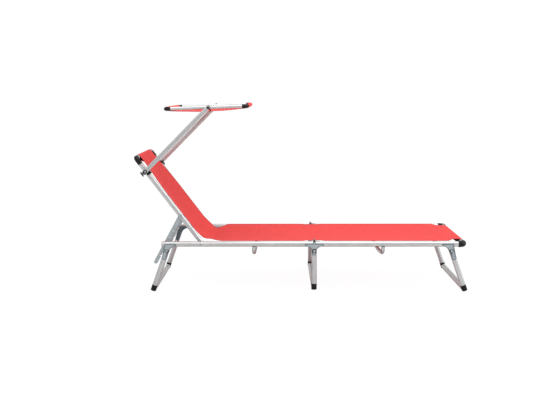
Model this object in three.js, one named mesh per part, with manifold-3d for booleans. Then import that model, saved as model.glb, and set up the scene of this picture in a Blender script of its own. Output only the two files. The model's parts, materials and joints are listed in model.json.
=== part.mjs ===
// Folding sun lounger with canopy. Millimetres, +Z up, +X towards the foot end, right side at -Y.
import * as THREE from "three";
import { mergeVertices } from "three/addons/utils/BufferGeometryUtils.js";
import Module from "manifold-3d";

const wasm = await Module();
wasm.setup();

// Clearances
const touchGap = 0.3;
const turnGap = 0.3;
const clothGap = 0.4;
const overrun = 5;

// Main frame
const rail = { radius: 13.5, wall: 1.2, axisHeight: 244, halfSpacing: 277.5 };
const headRailLength = 776;
const endBarDistance = 756;
const railJointGap = 2;
const cornerElbow = { radius: 16, tubeArm: 26, barArm: 22, spigot: 20 };

// Bowed cross braces under the seat
const bow = { radius: 10, armDrop: 47, shoulderDrop: 52, baseDrop: 67, bend: 52 };
const headBowDistance = 306;
const footBowDistance = 349;

// Hinge between the two halves, its pin just above the rails
const hinge = { pinRadius: 2.5, eyeRadius: 4.5, lift: 0.5 };
const hingeTab = { thickness: 8, length: 30, rise: 1.5 };

// Stamped brackets that straddle rail and leg
const cheek = { thickness: 2, overRail: 4, underAxis: 7.5, lipRadius: 5, halfStem: 10.5 };
const midBracket = { halfLength: 47.5, stemLength: 57, shoulderDepth: 36, lugHalfWidth: 5, lugFoot: 7 };
const legBracket = { inward: 38, outward: 20, stemLength: 84, shoulderDepth: 42, shoulderLift: 14 };
const legRivet = { radius: 4, headRadius: 7, outerHead: 2, innerHead: 0.8 };

// Legs
const legTube = { radius: 13.5, wall: 1.2, topOverrun: 10 };
const legPivotDrop = 33;
const legLeanDegrees = 19.7;
const headLegDistance = 738;
const footLegDistance = 683;
const midFootClearance = 7;
const footElbow = { radius: 14, tubeArm: 19, barArm: 19, spigot: 20, flatDepth: 0.8, soleDepth: 11.5 };

// Backrest
const backTube = { radius: 12, wall: 1.2, lowerOverrun: 14, length: 545 };
const backPivotDistance = 574;
const backAngleDegrees = 53;
const topElbow = { radius: 12.5, tubeArm: 37, barArm: 22, spigot: 20 };
const pivotBolt = { radius: 4, headRadius: 7, headHeight: 4, collarRadius: 8 };
const pivotNut = { radius: 7, height: 6 };

// Notched support struts and the studs they hang on
const strut = { width: 20, thickness: 3, reach: 280, pivotDistance: 177 };
const strutRivet = { radius: 3, headRadius: 5.5, headHeight: 1.5, washer: 1.2 };
const strutStud = { radius: 3, length: 1.9, beyondLeg: 11, biteDepth: 2.5 };
const notchPitch = 36;
const notchCount = 5;

// Canopy carrier
const clamp = { radius: 15.5, length: 32, belowElbow: 30, armBossRadius: 10 };
const knobBoss = { radius: 7, reach: 21 };
const clampPin = { radius: 4, headRadius: 7, headHeight: 3 };
const armOffset = 26;
const arm = { width: 22, thickness: 10, wall: 1.4, length: 453, endOverrun: 11 };
const armAngleDegrees = 45;
const knob = {
  screwRadius: 2.5, hubRadius: 6.5, hubHeight: 9, wingReach: 14, backReach: 14, wingWidth: 7, wingThickness: 5,
};

// Canopy
const canopyTube = { radius: 9, wall: 1 };
const canopyRear = 214;
const canopyFront = 194;
const canopyTiltDegrees = 1.8;
const canopyElbow = { radius: 10, tubeArm: 24, barArm: 20, spigot: 16 };
const canopyCollar = { radius: 7, height: 3 };
const lever = {
  screwRadius: 3, hubRadius: 6, hubHeight: 7, wingReach: 22, backReach: 4, wingWidth: 8, wingThickness: 4.5,
};

// Woven fabric
const cloth = { thickness: 1.2, seatSag: 12, backSag: 10, canopySag: 16, levelRun: 60, fadeRun: 150 };
const clothStepsAlong = 12;
const clothStepsAcross = 8;
const seatCloth = { fromPivot: 14, fromHinge: 2 };
const hipCut = { length: 70, inset: 80 };
const hingeCut = { length: 54, inset: 22.5 };
const footCut = { length: 64, inset: 39.5 };
const footClothOverBar = 9;
const backCloth = { fromPivot: 34, overBar: 8 };
const shoulderCut = { belowClamp: 29, run: 24, inset: 18.3, topInset: 30.3 };

// Facets
const roundSides = 20;
const smallSides = 12;
const nutSides = 6;
const bowSteps = 27;

// Places worked out from the sizes above
const railTop = rail.axisHeight + rail.radius;
const pinRise = rail.radius + hinge.lift + hinge.eyeRadius;
const pinHeight = rail.axisHeight + pinRise;
const cheekInner = rail.radius + touchGap;
const cheekOuter = cheekInner + cheek.thickness;
const halfStem = cheek.halfStem;
const studDistance = headLegDistance + strutStud.beyondLeg;
const clampDistance = backTube.length - topElbow.tubeArm - clamp.belowElbow - clamp.length / 2;
const studTip = rail.halfSpacing - cheekOuter - strutStud.length;
const strutMiddle = studTip - touchGap - strut.thickness / 2;
const backHalfSpacing = strutMiddle - strut.thickness / 2 - strutRivet.washer - backTube.radius;
const armHalfSpacing = backHalfSpacing + armOffset;
const armInner = arm.thickness / 2 + touchGap;
const canopyHalfSpacing = armHalfSpacing - arm.thickness / 2 - canopyCollar.height - canopyTube.radius;
const rightAngle = Math.PI / 2;
const fullTurn = Math.PI * 2;
const backLean = rightAngle - THREE.MathUtils.degToRad(backAngleDegrees);
const armLean = rightAngle - THREE.MathUtils.degToRad(armAngleDegrees);
const canopyTilt = THREE.MathUtils.degToRad(canopyTiltDegrees);
const legLean = THREE.MathUtils.degToRad(legLeanDegrees);

// Each side with its name and the direction outwards along Y
const sides = [
  { name: "right", outward: -1 },
  { name: "left", outward: 1 },
];

const finishes = {
  aluminium: { color: 0xc9cac8, roughness: 0.32, metalness: 0.9 },
  steel: { color: 0x8e9998, roughness: 0.42, metalness: 0.85 },
  plastic: { color: 0x1b1b1c, roughness: 0.55, metalness: 0 },
  cloth: { color: 0xef5450, roughness: 0.85, metalness: 0 },
};

// Joining and cutting

function toSolid(geometry) {
  const bare = geometry.clone();
  bare.deleteAttribute("normal");
  bare.deleteAttribute("uv");
  const merged = mergeVertices(bare);
  const vertProperties = merged.attributes.position.array;
  const triVerts = new Uint32Array(merged.index.array);
  return new wasm.Manifold(new wasm.Mesh({ numProp: 3, vertProperties, triVerts }));
}

function toGeometry(solid) {
  const { vertProperties, triVerts, numProp } = solid.getMesh();
  const geometry = new THREE.BufferGeometry();
  geometry.setAttribute("position", new THREE.BufferAttribute(vertProperties, numProp));
  geometry.setIndex(new THREE.BufferAttribute(triVerts, 1));
  geometry.computeVertexNormals();
  return geometry;
}

function join(...geometries) {
  return toGeometry(geometries.map(toSolid).reduce((whole, next) => whole.add(next)));
}

function cut(geometry, ...tools) {
  return toGeometry(tools.map(toSolid).reduce((whole, tool) => whole.subtract(tool), toSolid(geometry)));
}

// Plain shapes

// A round bar along +Z between two heights.
function bar(radius, from, to, segments = roundSides) {
  return new THREE.CylinderGeometry(radius, radius, to - from, segments)
    .rotateX(rightAngle)
    .translate(0, 0, (from + to) / 2);
}

// A round bar along Y between two places given in either order.
function barAcross(radius, from, to, segments = smallSides) {
  const length = Math.abs(to - from);
  return new THREE.CylinderGeometry(radius, radius, length, segments).translate(0, (from + to) / 2, 0);
}

// An open tube along +Z between two heights.
function pipe(radius, wall, from, to) {
  const inner = radius - wall;
  const profile = [
    new THREE.Vector2(inner, from),
    new THREE.Vector2(radius, from),
    new THREE.Vector2(radius, to),
    new THREE.Vector2(inner, to),
    new THREE.Vector2(inner, from),
  ];
  return new THREE.LatheGeometry(profile, roundSides).rotateX(rightAngle);
}

// A pipe with holes right through it along Y, each with its height and radius.
function drilledPipe(radius, wall, from, to, holes) {
  const reach = radius + overrun;
  const drills = holes.map((hole) => barAcross(hole.radius, -reach, reach).translate(0, 0, hole.at));
  return cut(pipe(radius, wall, from, to), ...drills);
}

// A plate in the XZ plane with its middle at Y zero.
function plate(outline, thickness) {
  const options = { depth: thickness, bevelEnabled: false, curveSegments: smallSides / 2 };
  return new THREE.ExtrudeGeometry(outline, options).rotateX(rightAngle).translate(0, thickness / 2, 0);
}

// A box between two corners.
function block(low, high) {
  const size = high.map((value, i) => value - low[i]);
  const middle = high.map((value, i) => (value + low[i]) / 2);
  return new THREE.BoxGeometry(...size).translate(...middle);
}

// A closed outline through points given as [x, y] pairs.
function polygon(points) {
  return new THREE.Shape(points.map(([x, y]) => new THREE.Vector2(x, y)));
}

// A corner piece: arms along +Z and +Y, a round corner, and a spigot for the tube on each arm.
function elbow({ radius, tubeArm, barArm, spigot }, tube) {
  const spigotRadius = tube.radius - tube.wall - touchGap;
  const corner = new THREE.SphereGeometry(radius, roundSides, roundSides / 2).rotateX(rightAngle);
  const arms = [bar(radius, 0, tubeArm), barAcross(radius, 0, barArm, roundSides)];
  const spigots = [
    bar(spigotRadius, 0, tubeArm + spigot),
    barAcross(spigotRadius, 0, barArm + spigot, roundSides),
  ];
  return join(corner, ...arms, ...spigots);
}

// Placing

function add(group, name, geometry, finish) {
  const mesh = new THREE.Mesh(geometry, new THREE.MeshStandardMaterial(finishes[finish]));
  mesh.name = name;
  group.add(mesh);
  return mesh;
}

function addGroup(parent, x, z, turnAboutY = 0) {
  const group = new THREE.Group();
  group.position.set(x, 0, z);
  group.rotation.y = turnAboutY;
  parent.add(group);
  return group;
}

// A corner piece with its tube arm turned about Y and its bar arm pointing inwards.
function addElbow(group, name, side, style, tube, [x, y, z], turnAboutY) {
  const mesh = add(group, name, elbow(style, tube), "plastic");
  mesh.position.set(x, side.outward * y, z);
  mesh.rotation.y = turnAboutY;
  mesh.rotateZ(side.outward > 0 ? Math.PI : 0);
}

// A tube along Y between the bar arms of two corner pieces.
function addCrossTube(group, name, tube, cornerHalfSpacing, barArm, x, z) {
  const half = cornerHalfSpacing - barArm - touchGap;
  const geometry = pipe(tube.radius, tube.wall, -half, half).rotateX(rightAngle);
  add(group, name, geometry, "aluminium").position.set(x, 0, z);
}

// Main frame

function addHeadRail(frame, side) {
  const pivotHole = { at: -backPivotDistance, radius: pivotBolt.radius + turnGap };
  const geometry = drilledPipe(rail.radius, rail.wall, -headRailLength, -railJointGap / 2, [pivotHole]);
  const mesh = add(frame, `head_rail_${side.name}`, geometry.rotateY(rightAngle), "aluminium");
  mesh.position.set(0, side.outward * rail.halfSpacing, rail.axisHeight);
}

// The foot rail carries a tab on its crown, with the eye that the hinge pin goes through.
function addFootRail(frame, side) {
  const start = railJointGap / 2;
  const end = endBarDistance - cornerElbow.tubeArm - touchGap;
  const tube = pipe(rail.radius, rail.wall, start, end).rotateY(rightAngle);
  const root = rail.radius - rail.wall / 2;
  const { eyeRadius, pinRadius } = hinge;
  const tab = new THREE.Shape();
  tab.moveTo(eyeRadius, root);
  tab.lineTo(hingeTab.length, root);
  tab.lineTo(hingeTab.length, rail.radius + hingeTab.rise);
  tab.lineTo(eyeRadius, pinRise);
  tab.absarc(0, pinRise, eyeRadius, 0, Math.PI + rightAngle);
  tab.lineTo(pinRadius, pinRise - eyeRadius);
  tab.closePath();
  const eye = new THREE.Path().absarc(0, pinRise, pinRadius + turnGap, 0, fullTurn, true);
  tab.holes.push(eye);
  const geometry = join(tube, plate(tab, hingeTab.thickness));
  const mesh = add(frame, `foot_rail_${side.name}`, geometry, "aluminium");
  mesh.position.set(0, side.outward * rail.halfSpacing, rail.axisHeight);
}

function addFootEnd(frame) {
  const place = [endBarDistance, rail.halfSpacing, rail.axisHeight];
  for (const side of sides) {
    addElbow(frame, `foot_corner_elbow_${side.name}`, side, cornerElbow, rail, place, -rightAngle);
  }
  addCrossTube(
    frame, "foot_end_bar", rail, rail.halfSpacing, cornerElbow.barArm, endBarDistance, rail.axisHeight,
  );
}

// A brace that drops from the underside of both rails and bows gently between them.
function addBow(frame, name, x) {
  const half = rail.halfSpacing;
  const shoulder = half - bow.bend;
  const baseControl = bow.baseDrop * 2 - bow.shoulderDrop;
  const point = (y, drop) => new THREE.Vector3(0, y, -drop);
  const path = new THREE.CurvePath();
  const span = (from, control, to) => path.add(new THREE.QuadraticBezierCurve3(from, control, to));
  span(point(-half, cheekInner), point(-half, bow.armDrop), point(-shoulder, bow.shoulderDrop));
  span(point(-shoulder, bow.shoulderDrop), point(0, baseControl), point(shoulder, bow.shoulderDrop));
  span(point(shoulder, bow.shoulderDrop), point(half, bow.armDrop), point(half, cheekInner));
  const section = new THREE.Shape().absarc(0, 0, bow.radius, 0, fullTurn);
  const options = { extrudePath: path, steps: bowSteps, curveSegments: smallSides / 2 };
  const mesh = add(frame, name, new THREE.ExtrudeGeometry(section, options), "aluminium");
  mesh.position.set(x, 0, rail.axisHeight);
}

// Brackets

// Two cheeks astride rail and leg, joined by a web under the rail and by the leg's rivet.
function straddlingBracket(outline, web, rivetX, outward) {
  const middle = (cheekInner + cheekOuter) / 2;
  const cheeks = [-middle, middle].map((y) => plate(outline, cheek.thickness).translate(0, y, 0));
  const bridge = block([web.from, -cheekOuter, -cheekOuter], [web.to, cheekOuter, -cheekInner]);
  const outerEnd = outward * (cheekOuter + legRivet.outerHead);
  const innerEnd = -outward * (cheekOuter + legRivet.innerHead);
  const rivet = [
    barAcross(legRivet.radius, outerEnd, innerEnd),
    barAcross(legRivet.headRadius, outerEnd, outward * cheekInner),
    barAcross(legRivet.headRadius, innerEnd, -outward * cheekInner),
  ].map((pin) => pin.translate(rivetX, 0, -legPivotDrop));
  return join(...cheeks, bridge, ...rivet);
}

// Cheeks for both rails and the middle leg, with lugs up to the hinge pin.
function midBracketOutline() {
  const { halfLength, stemLength, shoulderDepth, lugHalfWidth, lugFoot } = midBracket;
  const lip = cheek.underAxis + cheek.lipRadius;
  const outline = new THREE.Shape();
  outline.moveTo(-halfLength, cheek.overRail);
  outline.lineTo(-lugFoot, cheek.overRail);
  outline.lineTo(-lugHalfWidth, pinRise);
  outline.absarc(0, pinRise, lugHalfWidth, Math.PI, 0, true);
  outline.lineTo(lugFoot, cheek.overRail);
  outline.lineTo(halfLength, cheek.overRail);
  outline.lineTo(halfLength, -cheek.underAxis);
  outline.quadraticCurveTo(halfStem, -lip, halfStem, -shoulderDepth);
  outline.absarc(0, halfStem - stemLength, halfStem, 0, -Math.PI, true);
  outline.lineTo(-halfStem, -shoulderDepth);
  outline.quadraticCurveTo(-halfStem, -lip, -halfLength, -cheek.underAxis);
  outline.closePath();
  return outline;
}

function addMidBracket(frame, side) {
  const web = { from: -halfStem, to: halfStem };
  const body = straddlingBracket(midBracketOutline(), web, 0, side.outward);
  const hingePin = barAcross(hinge.pinRadius, -cheekOuter, cheekOuter).translate(0, 0, pinRise);
  const mesh = add(frame, `mid_bracket_${side.name}`, join(body, hingePin), "steel");
  mesh.position.set(0, side.outward * rail.halfSpacing, rail.axisHeight);
}

// Cheeks for a leg that leans outwards, towards -X, from the crossing of rail and leg.
function legBracketOutline() {
  const { inward, outward, stemLength, shoulderDepth, shoulderLift } = legBracket;
  const down = new THREE.Vector2(-Math.sin(legLean), -Math.cos(legLean));
  const inside = new THREE.Vector2(-down.y, down.x);
  const place = (along, aside) => down.clone().multiplyScalar(along).addScaledVector(inside, aside);
  const stemOuter = place(stemLength - halfStem, -halfStem);
  const stemEnd = place(stemLength - halfStem, 0);
  const shoulder = place(shoulderDepth, halfStem);
  const bend = place(shoulderLift, halfStem);
  const tip = { x: inward - cheek.lipRadius, y: cheek.lipRadius - cheek.underAxis };
  const outline = new THREE.Shape();
  outline.moveTo(-outward, cheek.overRail);
  outline.lineTo(stemOuter.x, stemOuter.y);
  outline.absarc(stemEnd.x, stemEnd.y, halfStem, Math.PI - legLean, fullTurn - legLean);
  outline.lineTo(shoulder.x, shoulder.y);
  outline.quadraticCurveTo(bend.x, bend.y, tip.x, tip.y - cheek.lipRadius);
  outline.absarc(tip.x, tip.y, cheek.lipRadius, -rightAngle, rightAngle);
  outline.closePath();
  return outline;
}

const legPivotShift = legPivotDrop * Math.tan(legLean);

function addHeadLegBracket(frame, side) {
  const web = { from: -legPivotShift, to: cheek.underAxis };
  const body = straddlingBracket(legBracketOutline(), web, -legPivotShift, side.outward);
  const studEnd = -side.outward * (cheekOuter + strutStud.length);
  const stud = barAcross(strutStud.radius, -side.outward * cheekInner, studEnd);
  const geometry = join(body, stud.translate(-strutStud.beyondLeg, 0, 0));
  const mesh = add(frame, `head_leg_bracket_${side.name}`, geometry, "steel");
  mesh.position.set(-headLegDistance, side.outward * rail.halfSpacing, rail.axisHeight);
}

function addFootLegBracket(frame, side) {
  const web = { from: -legPivotShift, to: cheek.underAxis };
  const geometry = straddlingBracket(legBracketOutline(), web, -legPivotShift, -side.outward);
  const mesh = add(frame, `foot_leg_bracket_${side.name}`, geometry, "steel");
  mesh.position.set(footLegDistance, side.outward * rail.halfSpacing, rail.axisHeight);
  mesh.rotation.z = Math.PI;
}

// Legs

// An elbow foot squared off across the tube, with its underside cut level with the ground.
function footGeometry(lean, side) {
  const sole = bar(footElbow.radius, -footElbow.soleDepth, footElbow.tubeArm);
  const body = join(elbow(footElbow, legTube), sole);
  if (side.outward > 0) body.rotateZ(Math.PI);
  const reach = footElbow.radius + footElbow.barArm + footElbow.spigot;
  const level = footElbow.flatDepth - footElbow.radius;
  const below = block([-reach, -reach, level - reach], [reach, reach, level]);
  return cut(body, below.rotateY(-lean));
}

// A leg hangs along -Z from its pivots: two tubes, a crossbar and two elbow feet.
function addLeg(frame, name, x, lean, footHeight) {
  const pivotHeight = rail.axisHeight - legPivotDrop;
  const leg = addGroup(frame, x - legPivotDrop * Math.tan(lean), pivotHeight, lean);
  const cornerHeight = footHeight + footElbow.radius - footElbow.flatDepth;
  const cornerDrop = (pivotHeight - cornerHeight) / Math.cos(lean);
  const tubeEnd = -cornerDrop + footElbow.tubeArm + touchGap;
  const hole = { at: 0, radius: legRivet.radius + turnGap };
  for (const side of sides) {
    const y = side.outward * rail.halfSpacing;
    const tube = drilledPipe(legTube.radius, legTube.wall, tubeEnd, legTube.topOverrun, [hole]);
    add(leg, `${name}_leg_tube_${side.name}`, tube, "aluminium").position.y = y;
    const foot = add(leg, `${name}_leg_foot_${side.name}`, footGeometry(lean, side), "plastic");
    foot.position.set(0, y, -cornerDrop);
  }
  addCrossTube(leg, `${name}_leg_crossbar`, legTube, rail.halfSpacing, footElbow.barArm, 0, -cornerDrop);
}

// Backrest

// Bolt through rail and backrest tube, with a collar between them and a nut on the inside.
function addPivotBolt(frame, side) {
  const headFace = rail.halfSpacing + rail.radius + touchGap;
  const railInner = rail.halfSpacing - rail.radius - touchGap;
  const tubeOuter = backHalfSpacing + backTube.radius + touchGap;
  const tubeInner = backHalfSpacing - backTube.radius - touchGap;
  const geometry = join(
    barAcross(pivotBolt.radius, tubeInner, headFace),
    barAcross(pivotBolt.headRadius, headFace, headFace + pivotBolt.headHeight),
    barAcross(pivotBolt.collarRadius, tubeOuter, railInner),
    barAcross(pivotNut.radius, tubeInner - pivotNut.height, tubeInner, nutSides),
  );
  if (side.outward < 0) geometry.rotateZ(Math.PI);
  const mesh = add(frame, `backrest_pivot_bolt_${side.name}`, geometry, "steel");
  mesh.position.set(-backPivotDistance, 0, rail.axisHeight);
}

// The backrest lies along +Z from its pivots, its front towards +X.
function addBackrest(frame) {
  const back = addGroup(frame, -backPivotDistance, rail.axisHeight, -backLean);
  const end = backTube.length - topElbow.tubeArm - touchGap;
  const holes = [
    { at: 0, radius: pivotBolt.radius + turnGap },
    { at: strut.pivotDistance, radius: strutRivet.radius + turnGap },
  ];
  const place = [0, backHalfSpacing, backTube.length];
  for (const side of sides) {
    const tube = drilledPipe(backTube.radius, backTube.wall, -backTube.lowerOverrun, end, holes);
    const mesh = add(back, `backrest_tube_${side.name}`, tube, "aluminium");
    mesh.position.y = side.outward * backHalfSpacing;
    addElbow(back, `backrest_elbow_${side.name}`, side, topElbow, backTube, place, Math.PI);
    addClamp(back, side);
    addKnob(back, side);
  }
  addCrossTube(back, "backrest_top_bar", backTube, backHalfSpacing, topElbow.barArm, 0, backTube.length);
  return back;
}

// Struts

// The lean of a strut whose foot-side notch lies on the stud, and how far down that notch is.
function strutRest() {
  const pivotX = -backPivotDistance - strut.pivotDistance * Math.sin(backLean);
  const pivotRise = strut.pivotDistance * Math.cos(backLean);
  const aside = strut.width / 2 - strutStud.biteDepth;
  const toStud = { x: -studDistance - pivotX, z: -pivotRise };
  const reach = Math.hypot(toStud.x, toStud.z);
  return {
    aside,
    lean: Math.atan2(-toStud.x, -toStud.z) + Math.asin(aside / reach),
    notchAt: Math.sqrt(reach * reach - aside * aside),
  };
}

// A flat bar along -Z from its rivet, with round notches along the edge at +X.
function strutOutline({ aside, notchAt }) {
  const half = strut.width / 2;
  const end = strut.reach - half;
  const bite = strutStud.radius + turnGap;
  const mouth = Math.acos((half - aside) / bite);
  const outline = new THREE.Shape();
  outline.moveTo(half, 0);
  const first = notchAt - (notchPitch * (notchCount - 1)) / 2;
  for (let i = 0; i < notchCount; i += 1) {
    outline.absarc(aside, -first - i * notchPitch, bite, mouth, fullTurn - mouth);
  }
  outline.absarc(0, -end, half, 0, -Math.PI, true);
  outline.absarc(0, 0, half, Math.PI, 0, true);
  return outline;
}

function addStrut(back, side) {
  const rest = strutRest();
  const inner = -side.outward * strut.thickness / 2;
  const tubeFace = -side.outward * (strutMiddle - backHalfSpacing - backTube.radius - touchGap);
  const tubeBack = -side.outward * (strutMiddle - backHalfSpacing + backTube.radius + touchGap);
  const rivetEnd = tubeBack - side.outward * strutRivet.headHeight;
  const geometry = join(
    plate(strutOutline(rest), strut.thickness),
    barAcross(strutRivet.radius, 0, rivetEnd),
    barAcross(strutRivet.headRadius, 0, tubeFace),
    barAcross(strutRivet.headRadius, tubeBack, rivetEnd),
  );
  const mesh = add(back, `support_strut_${side.name}`, geometry, "steel");
  mesh.position.set(0, side.outward * strutMiddle, strut.pivotDistance);
  mesh.rotation.y = rest.lean + backLean;
}

// Canopy carrier

// A clamp round the backrest tube, with the arm's pivot on its outside and the knob's boss behind.
function addClamp(back, side) {
  const half = clamp.length / 2;
  const armFace = side.outward * (armOffset - armInner);
  const armBack = side.outward * (armOffset + armInner);
  const pinEnd = armBack + side.outward * clampPin.headHeight;
  const body = join(
    bar(clamp.radius, -half, half),
    barAcross(clamp.armBossRadius, 0, armFace),
    bar(knobBoss.radius, 0, knobBoss.reach, smallSides).rotateY(-rightAngle),
    barAcross(clampPin.radius, 0, pinEnd),
    barAcross(clampPin.headRadius, armBack, pinEnd),
  );
  const bore = bar(backTube.radius + touchGap, -half - overrun, half + overrun);
  const screwHole = bar(knob.screwRadius + turnGap, 0, knobBoss.reach + overrun, smallSides);
  const geometry = cut(body, bore, screwHole.rotateY(-rightAngle));
  const mesh = add(back, `canopy_clamp_${side.name}`, geometry, "plastic");
  mesh.position.set(0, side.outward * backHalfSpacing, clampDistance);
}

// A hand screw along +Z: shank from the given depth, hub, and a wing from its back reach to its reach.
function wingScrew(style, shankDepth) {
  const { screwRadius, hubRadius, hubHeight, wingReach, backReach, wingWidth, wingThickness } = style;
  const halfWidth = wingWidth / 2;
  const outline = new THREE.Shape();
  outline.absarc(wingReach - halfWidth, 0, halfWidth, -rightAngle, rightAngle);
  outline.absarc(halfWidth - backReach, 0, halfWidth, rightAngle, Math.PI + rightAngle);
  const options = { depth: wingThickness, bevelEnabled: false, curveSegments: smallSides / 2 };
  const wing = new THREE.ExtrudeGeometry(outline, options).translate(0, 0, hubHeight - wingThickness);
  return join(
    bar(screwRadius, -shankDepth, hubHeight, smallSides),
    bar(hubRadius, 0, hubHeight, smallSides),
    wing,
  );
}

function addKnob(back, side) {
  const seat = knobBoss.reach + touchGap;
  const shank = seat - backTube.radius - touchGap;
  const mesh = add(back, `clamp_knob_${side.name}`, wingScrew(knob, shank), "plastic");
  mesh.position.set(-seat, side.outward * backHalfSpacing, clampDistance);
  mesh.rotation.y = -rightAngle;
}

// A flat-oval tube along +Z from its clamp's pin to the canopy's screw.
function armGeometry() {
  const oval = (width, thickness) => {
    const end = (width - thickness) / 2;
    const radius = thickness / 2;
    const path = new THREE.Shape();
    path.absarc(end, 0, radius, -rightAngle, rightAngle);
    path.absarc(-end, 0, radius, rightAngle, Math.PI + rightAngle);
    return path;
  };
  const outline = oval(arm.width, arm.thickness);
  outline.holes.push(oval(arm.width - arm.wall * 2, arm.thickness - arm.wall * 2));
  const length = arm.length + arm.endOverrun * 2;
  const options = { depth: length, bevelEnabled: false, curveSegments: smallSides / 2 };
  const tube = new THREE.ExtrudeGeometry(outline, options).translate(0, 0, -arm.endOverrun);
  return cut(
    tube,
    barAcross(clampPin.radius + turnGap, -arm.thickness, arm.thickness),
    barAcross(lever.screwRadius + turnGap, -arm.thickness, arm.thickness).translate(0, 0, arm.length),
  );
}

function addArms(parent) {
  const rise = clampDistance * Math.cos(backLean);
  const run = clampDistance * Math.sin(backLean);
  const arms = addGroup(parent, -backPivotDistance - run, rail.axisHeight + rise, armLean);
  for (const side of sides) {
    const mesh = add(arms, `canopy_arm_${side.name}`, armGeometry(), "aluminium");
    mesh.position.y = side.outward * armHalfSpacing;
    addLever(arms, side);
  }
  return arms;
}

// The lever's screw goes through the arm into the canopy's side tube.
function addLever(arms, side) {
  const seat = armHalfSpacing + armInner;
  const shank = seat - canopyHalfSpacing;
  const mesh = add(arms, `canopy_lever_${side.name}`, wingScrew(lever, shank), "plastic");
  mesh.position.set(0, side.outward * seat, arm.length);
  mesh.rotation.x = -side.outward * rightAngle;
}

// Canopy

// A side tube along X through the tilt pivot, with a collar towards its arm.
function sideTubeGeometry(side) {
  const reach = canopyTube.radius + canopyCollar.height;
  const bore = canopyTube.radius - canopyTube.wall;
  const inset = canopyElbow.tubeArm + touchGap;
  const from = inset - canopyRear;
  const to = canopyFront - inset;
  const collar = barAcross(canopyCollar.radius, 0, side.outward * (reach - touchGap));
  const outside = join(bar(canopyTube.radius, from, to).rotateY(rightAngle), collar);
  const inside = bar(bore, from - overrun, to + overrun).rotateY(rightAngle);
  const drill = barAcross(lever.screwRadius + turnGap, 0, side.outward * (reach + overrun));
  return cut(outside, inside, drill);
}

function addCanopy(arms) {
  const canopy = addGroup(arms, 0, arm.length, -canopyTilt - armLean);
  for (const side of sides) {
    const mesh = add(canopy, `canopy_side_tube_${side.name}`, sideTubeGeometry(side), "aluminium");
    mesh.position.y = side.outward * canopyHalfSpacing;
    const rear = [-canopyRear, canopyHalfSpacing, 0];
    const front = [canopyFront, canopyHalfSpacing, 0];
    addElbow(canopy, `canopy_elbow_rear_${side.name}`, side, canopyElbow, canopyTube, rear, rightAngle);
    addElbow(
      canopy, `canopy_elbow_front_${side.name}`, side, canopyElbow, canopyTube, front, -rightAngle,
    );
  }
  const between = [canopyTube, canopyHalfSpacing, canopyElbow.barArm];
  addCrossTube(canopy, "canopy_rear_tube", ...between, -canopyRear, 0);
  addCrossTube(canopy, "canopy_front_tube", ...between, canopyFront, 0);
  addCanopyCloth(canopy);
}

// Fabric

// A thin sheet over the XY plane between two ends, its lower face at height(x, y).
function sheet(from, to, halfWidth, height) {
  const size = [to - from, halfWidth * 2, cloth.thickness];
  const geometry = new THREE.BoxGeometry(...size, clothStepsAlong, clothStepsAcross, 1);
  geometry.translate((from + to) / 2, 0, cloth.thickness / 2);
  const position = geometry.attributes.position;
  for (let i = 0; i < position.count; i += 1) {
    position.setZ(i, position.getZ(i) + height(position.getX(i), position.getY(i)));
  }
  return geometry;
}

// How much of the full sag is left at a distance from a bar that the sheet runs over.
function sagShare(distanceFromBar) {
  return THREE.MathUtils.smoothstep(distanceFromBar, cloth.levelRun, cloth.fadeRun);
}

function hollow(y, halfWidth, sag) {
  return -sag * (1 - (y / halfWidth) ** 2);
}

// Boxes that cut both edges of a sheet back to a half width between two ends.
function edgeCuts(from, to, halfWidth) {
  const far = rail.halfSpacing + overrun;
  return [
    block([from, halfWidth, -far], [to, far, far]),
    block([from, -far, -far], [to, -halfWidth, far]),
  ];
}

function addSeatCloth(frame) {
  const half = rail.halfSpacing;
  const start = seatCloth.fromPivot - backPivotDistance;
  const whole = sheet(start, -seatCloth.fromHinge, half, (x, y) => hollow(y, half, cloth.seatSag));
  const geometry = cut(
    whole,
    ...edgeCuts(start - overrun, start + hipCut.length, half - hipCut.inset),
    ...edgeCuts(-hingeCut.length, overrun, half - hingeCut.inset),
  );
  add(frame, "seat_sling", geometry, "cloth").position.z = railTop + clothGap;
}

function addFootCloth(frame) {
  const half = rail.halfSpacing;
  const barEdge = endBarDistance - rail.radius;
  const end = endBarDistance + footClothOverBar;
  const height = (x, y) => hollow(y, half, cloth.seatSag) * sagShare(barEdge - x);
  const geometry = cut(
    sheet(seatCloth.fromHinge, end, half, height),
    ...edgeCuts(-overrun, hingeCut.length, half - hingeCut.inset),
    ...edgeCuts(endBarDistance - footCut.length, end + overrun, half - footCut.inset),
  );
  add(frame, "foot_sling", geometry, "cloth").position.z = railTop + clothGap;
}

// Drawn flat with X along the backrest, then stood up so that it faces the front.
function addBackCloth(back) {
  const half = backHalfSpacing;
  const barEdge = backTube.length - backTube.radius;
  const end = backTube.length + backCloth.overBar;
  const height = (x, y) => hollow(y, half, cloth.backSag) * sagShare(barEdge - x);
  const far = half + overrun;
  const start = clampDistance - clamp.length / 2 - shoulderCut.belowClamp;
  const corner = polygon([
    [start, far],
    [start + shoulderCut.run, half - shoulderCut.inset],
    [end + overrun, half - shoulderCut.topInset],
    [end + overrun, far],
  ]);
  const options = { depth: far * 2, bevelEnabled: false };
  const shoulder = () => new THREE.ExtrudeGeometry(corner, options).translate(0, 0, -far);
  const whole = sheet(backCloth.fromPivot, end, half, height);
  const geometry = cut(whole, shoulder(), shoulder().rotateX(Math.PI));
  geometry.translate(0, 0, backTube.radius + clothGap).rotateY(-rightAngle).rotateZ(Math.PI);
  add(back, "backrest_sling", geometry, "cloth");
}

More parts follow.
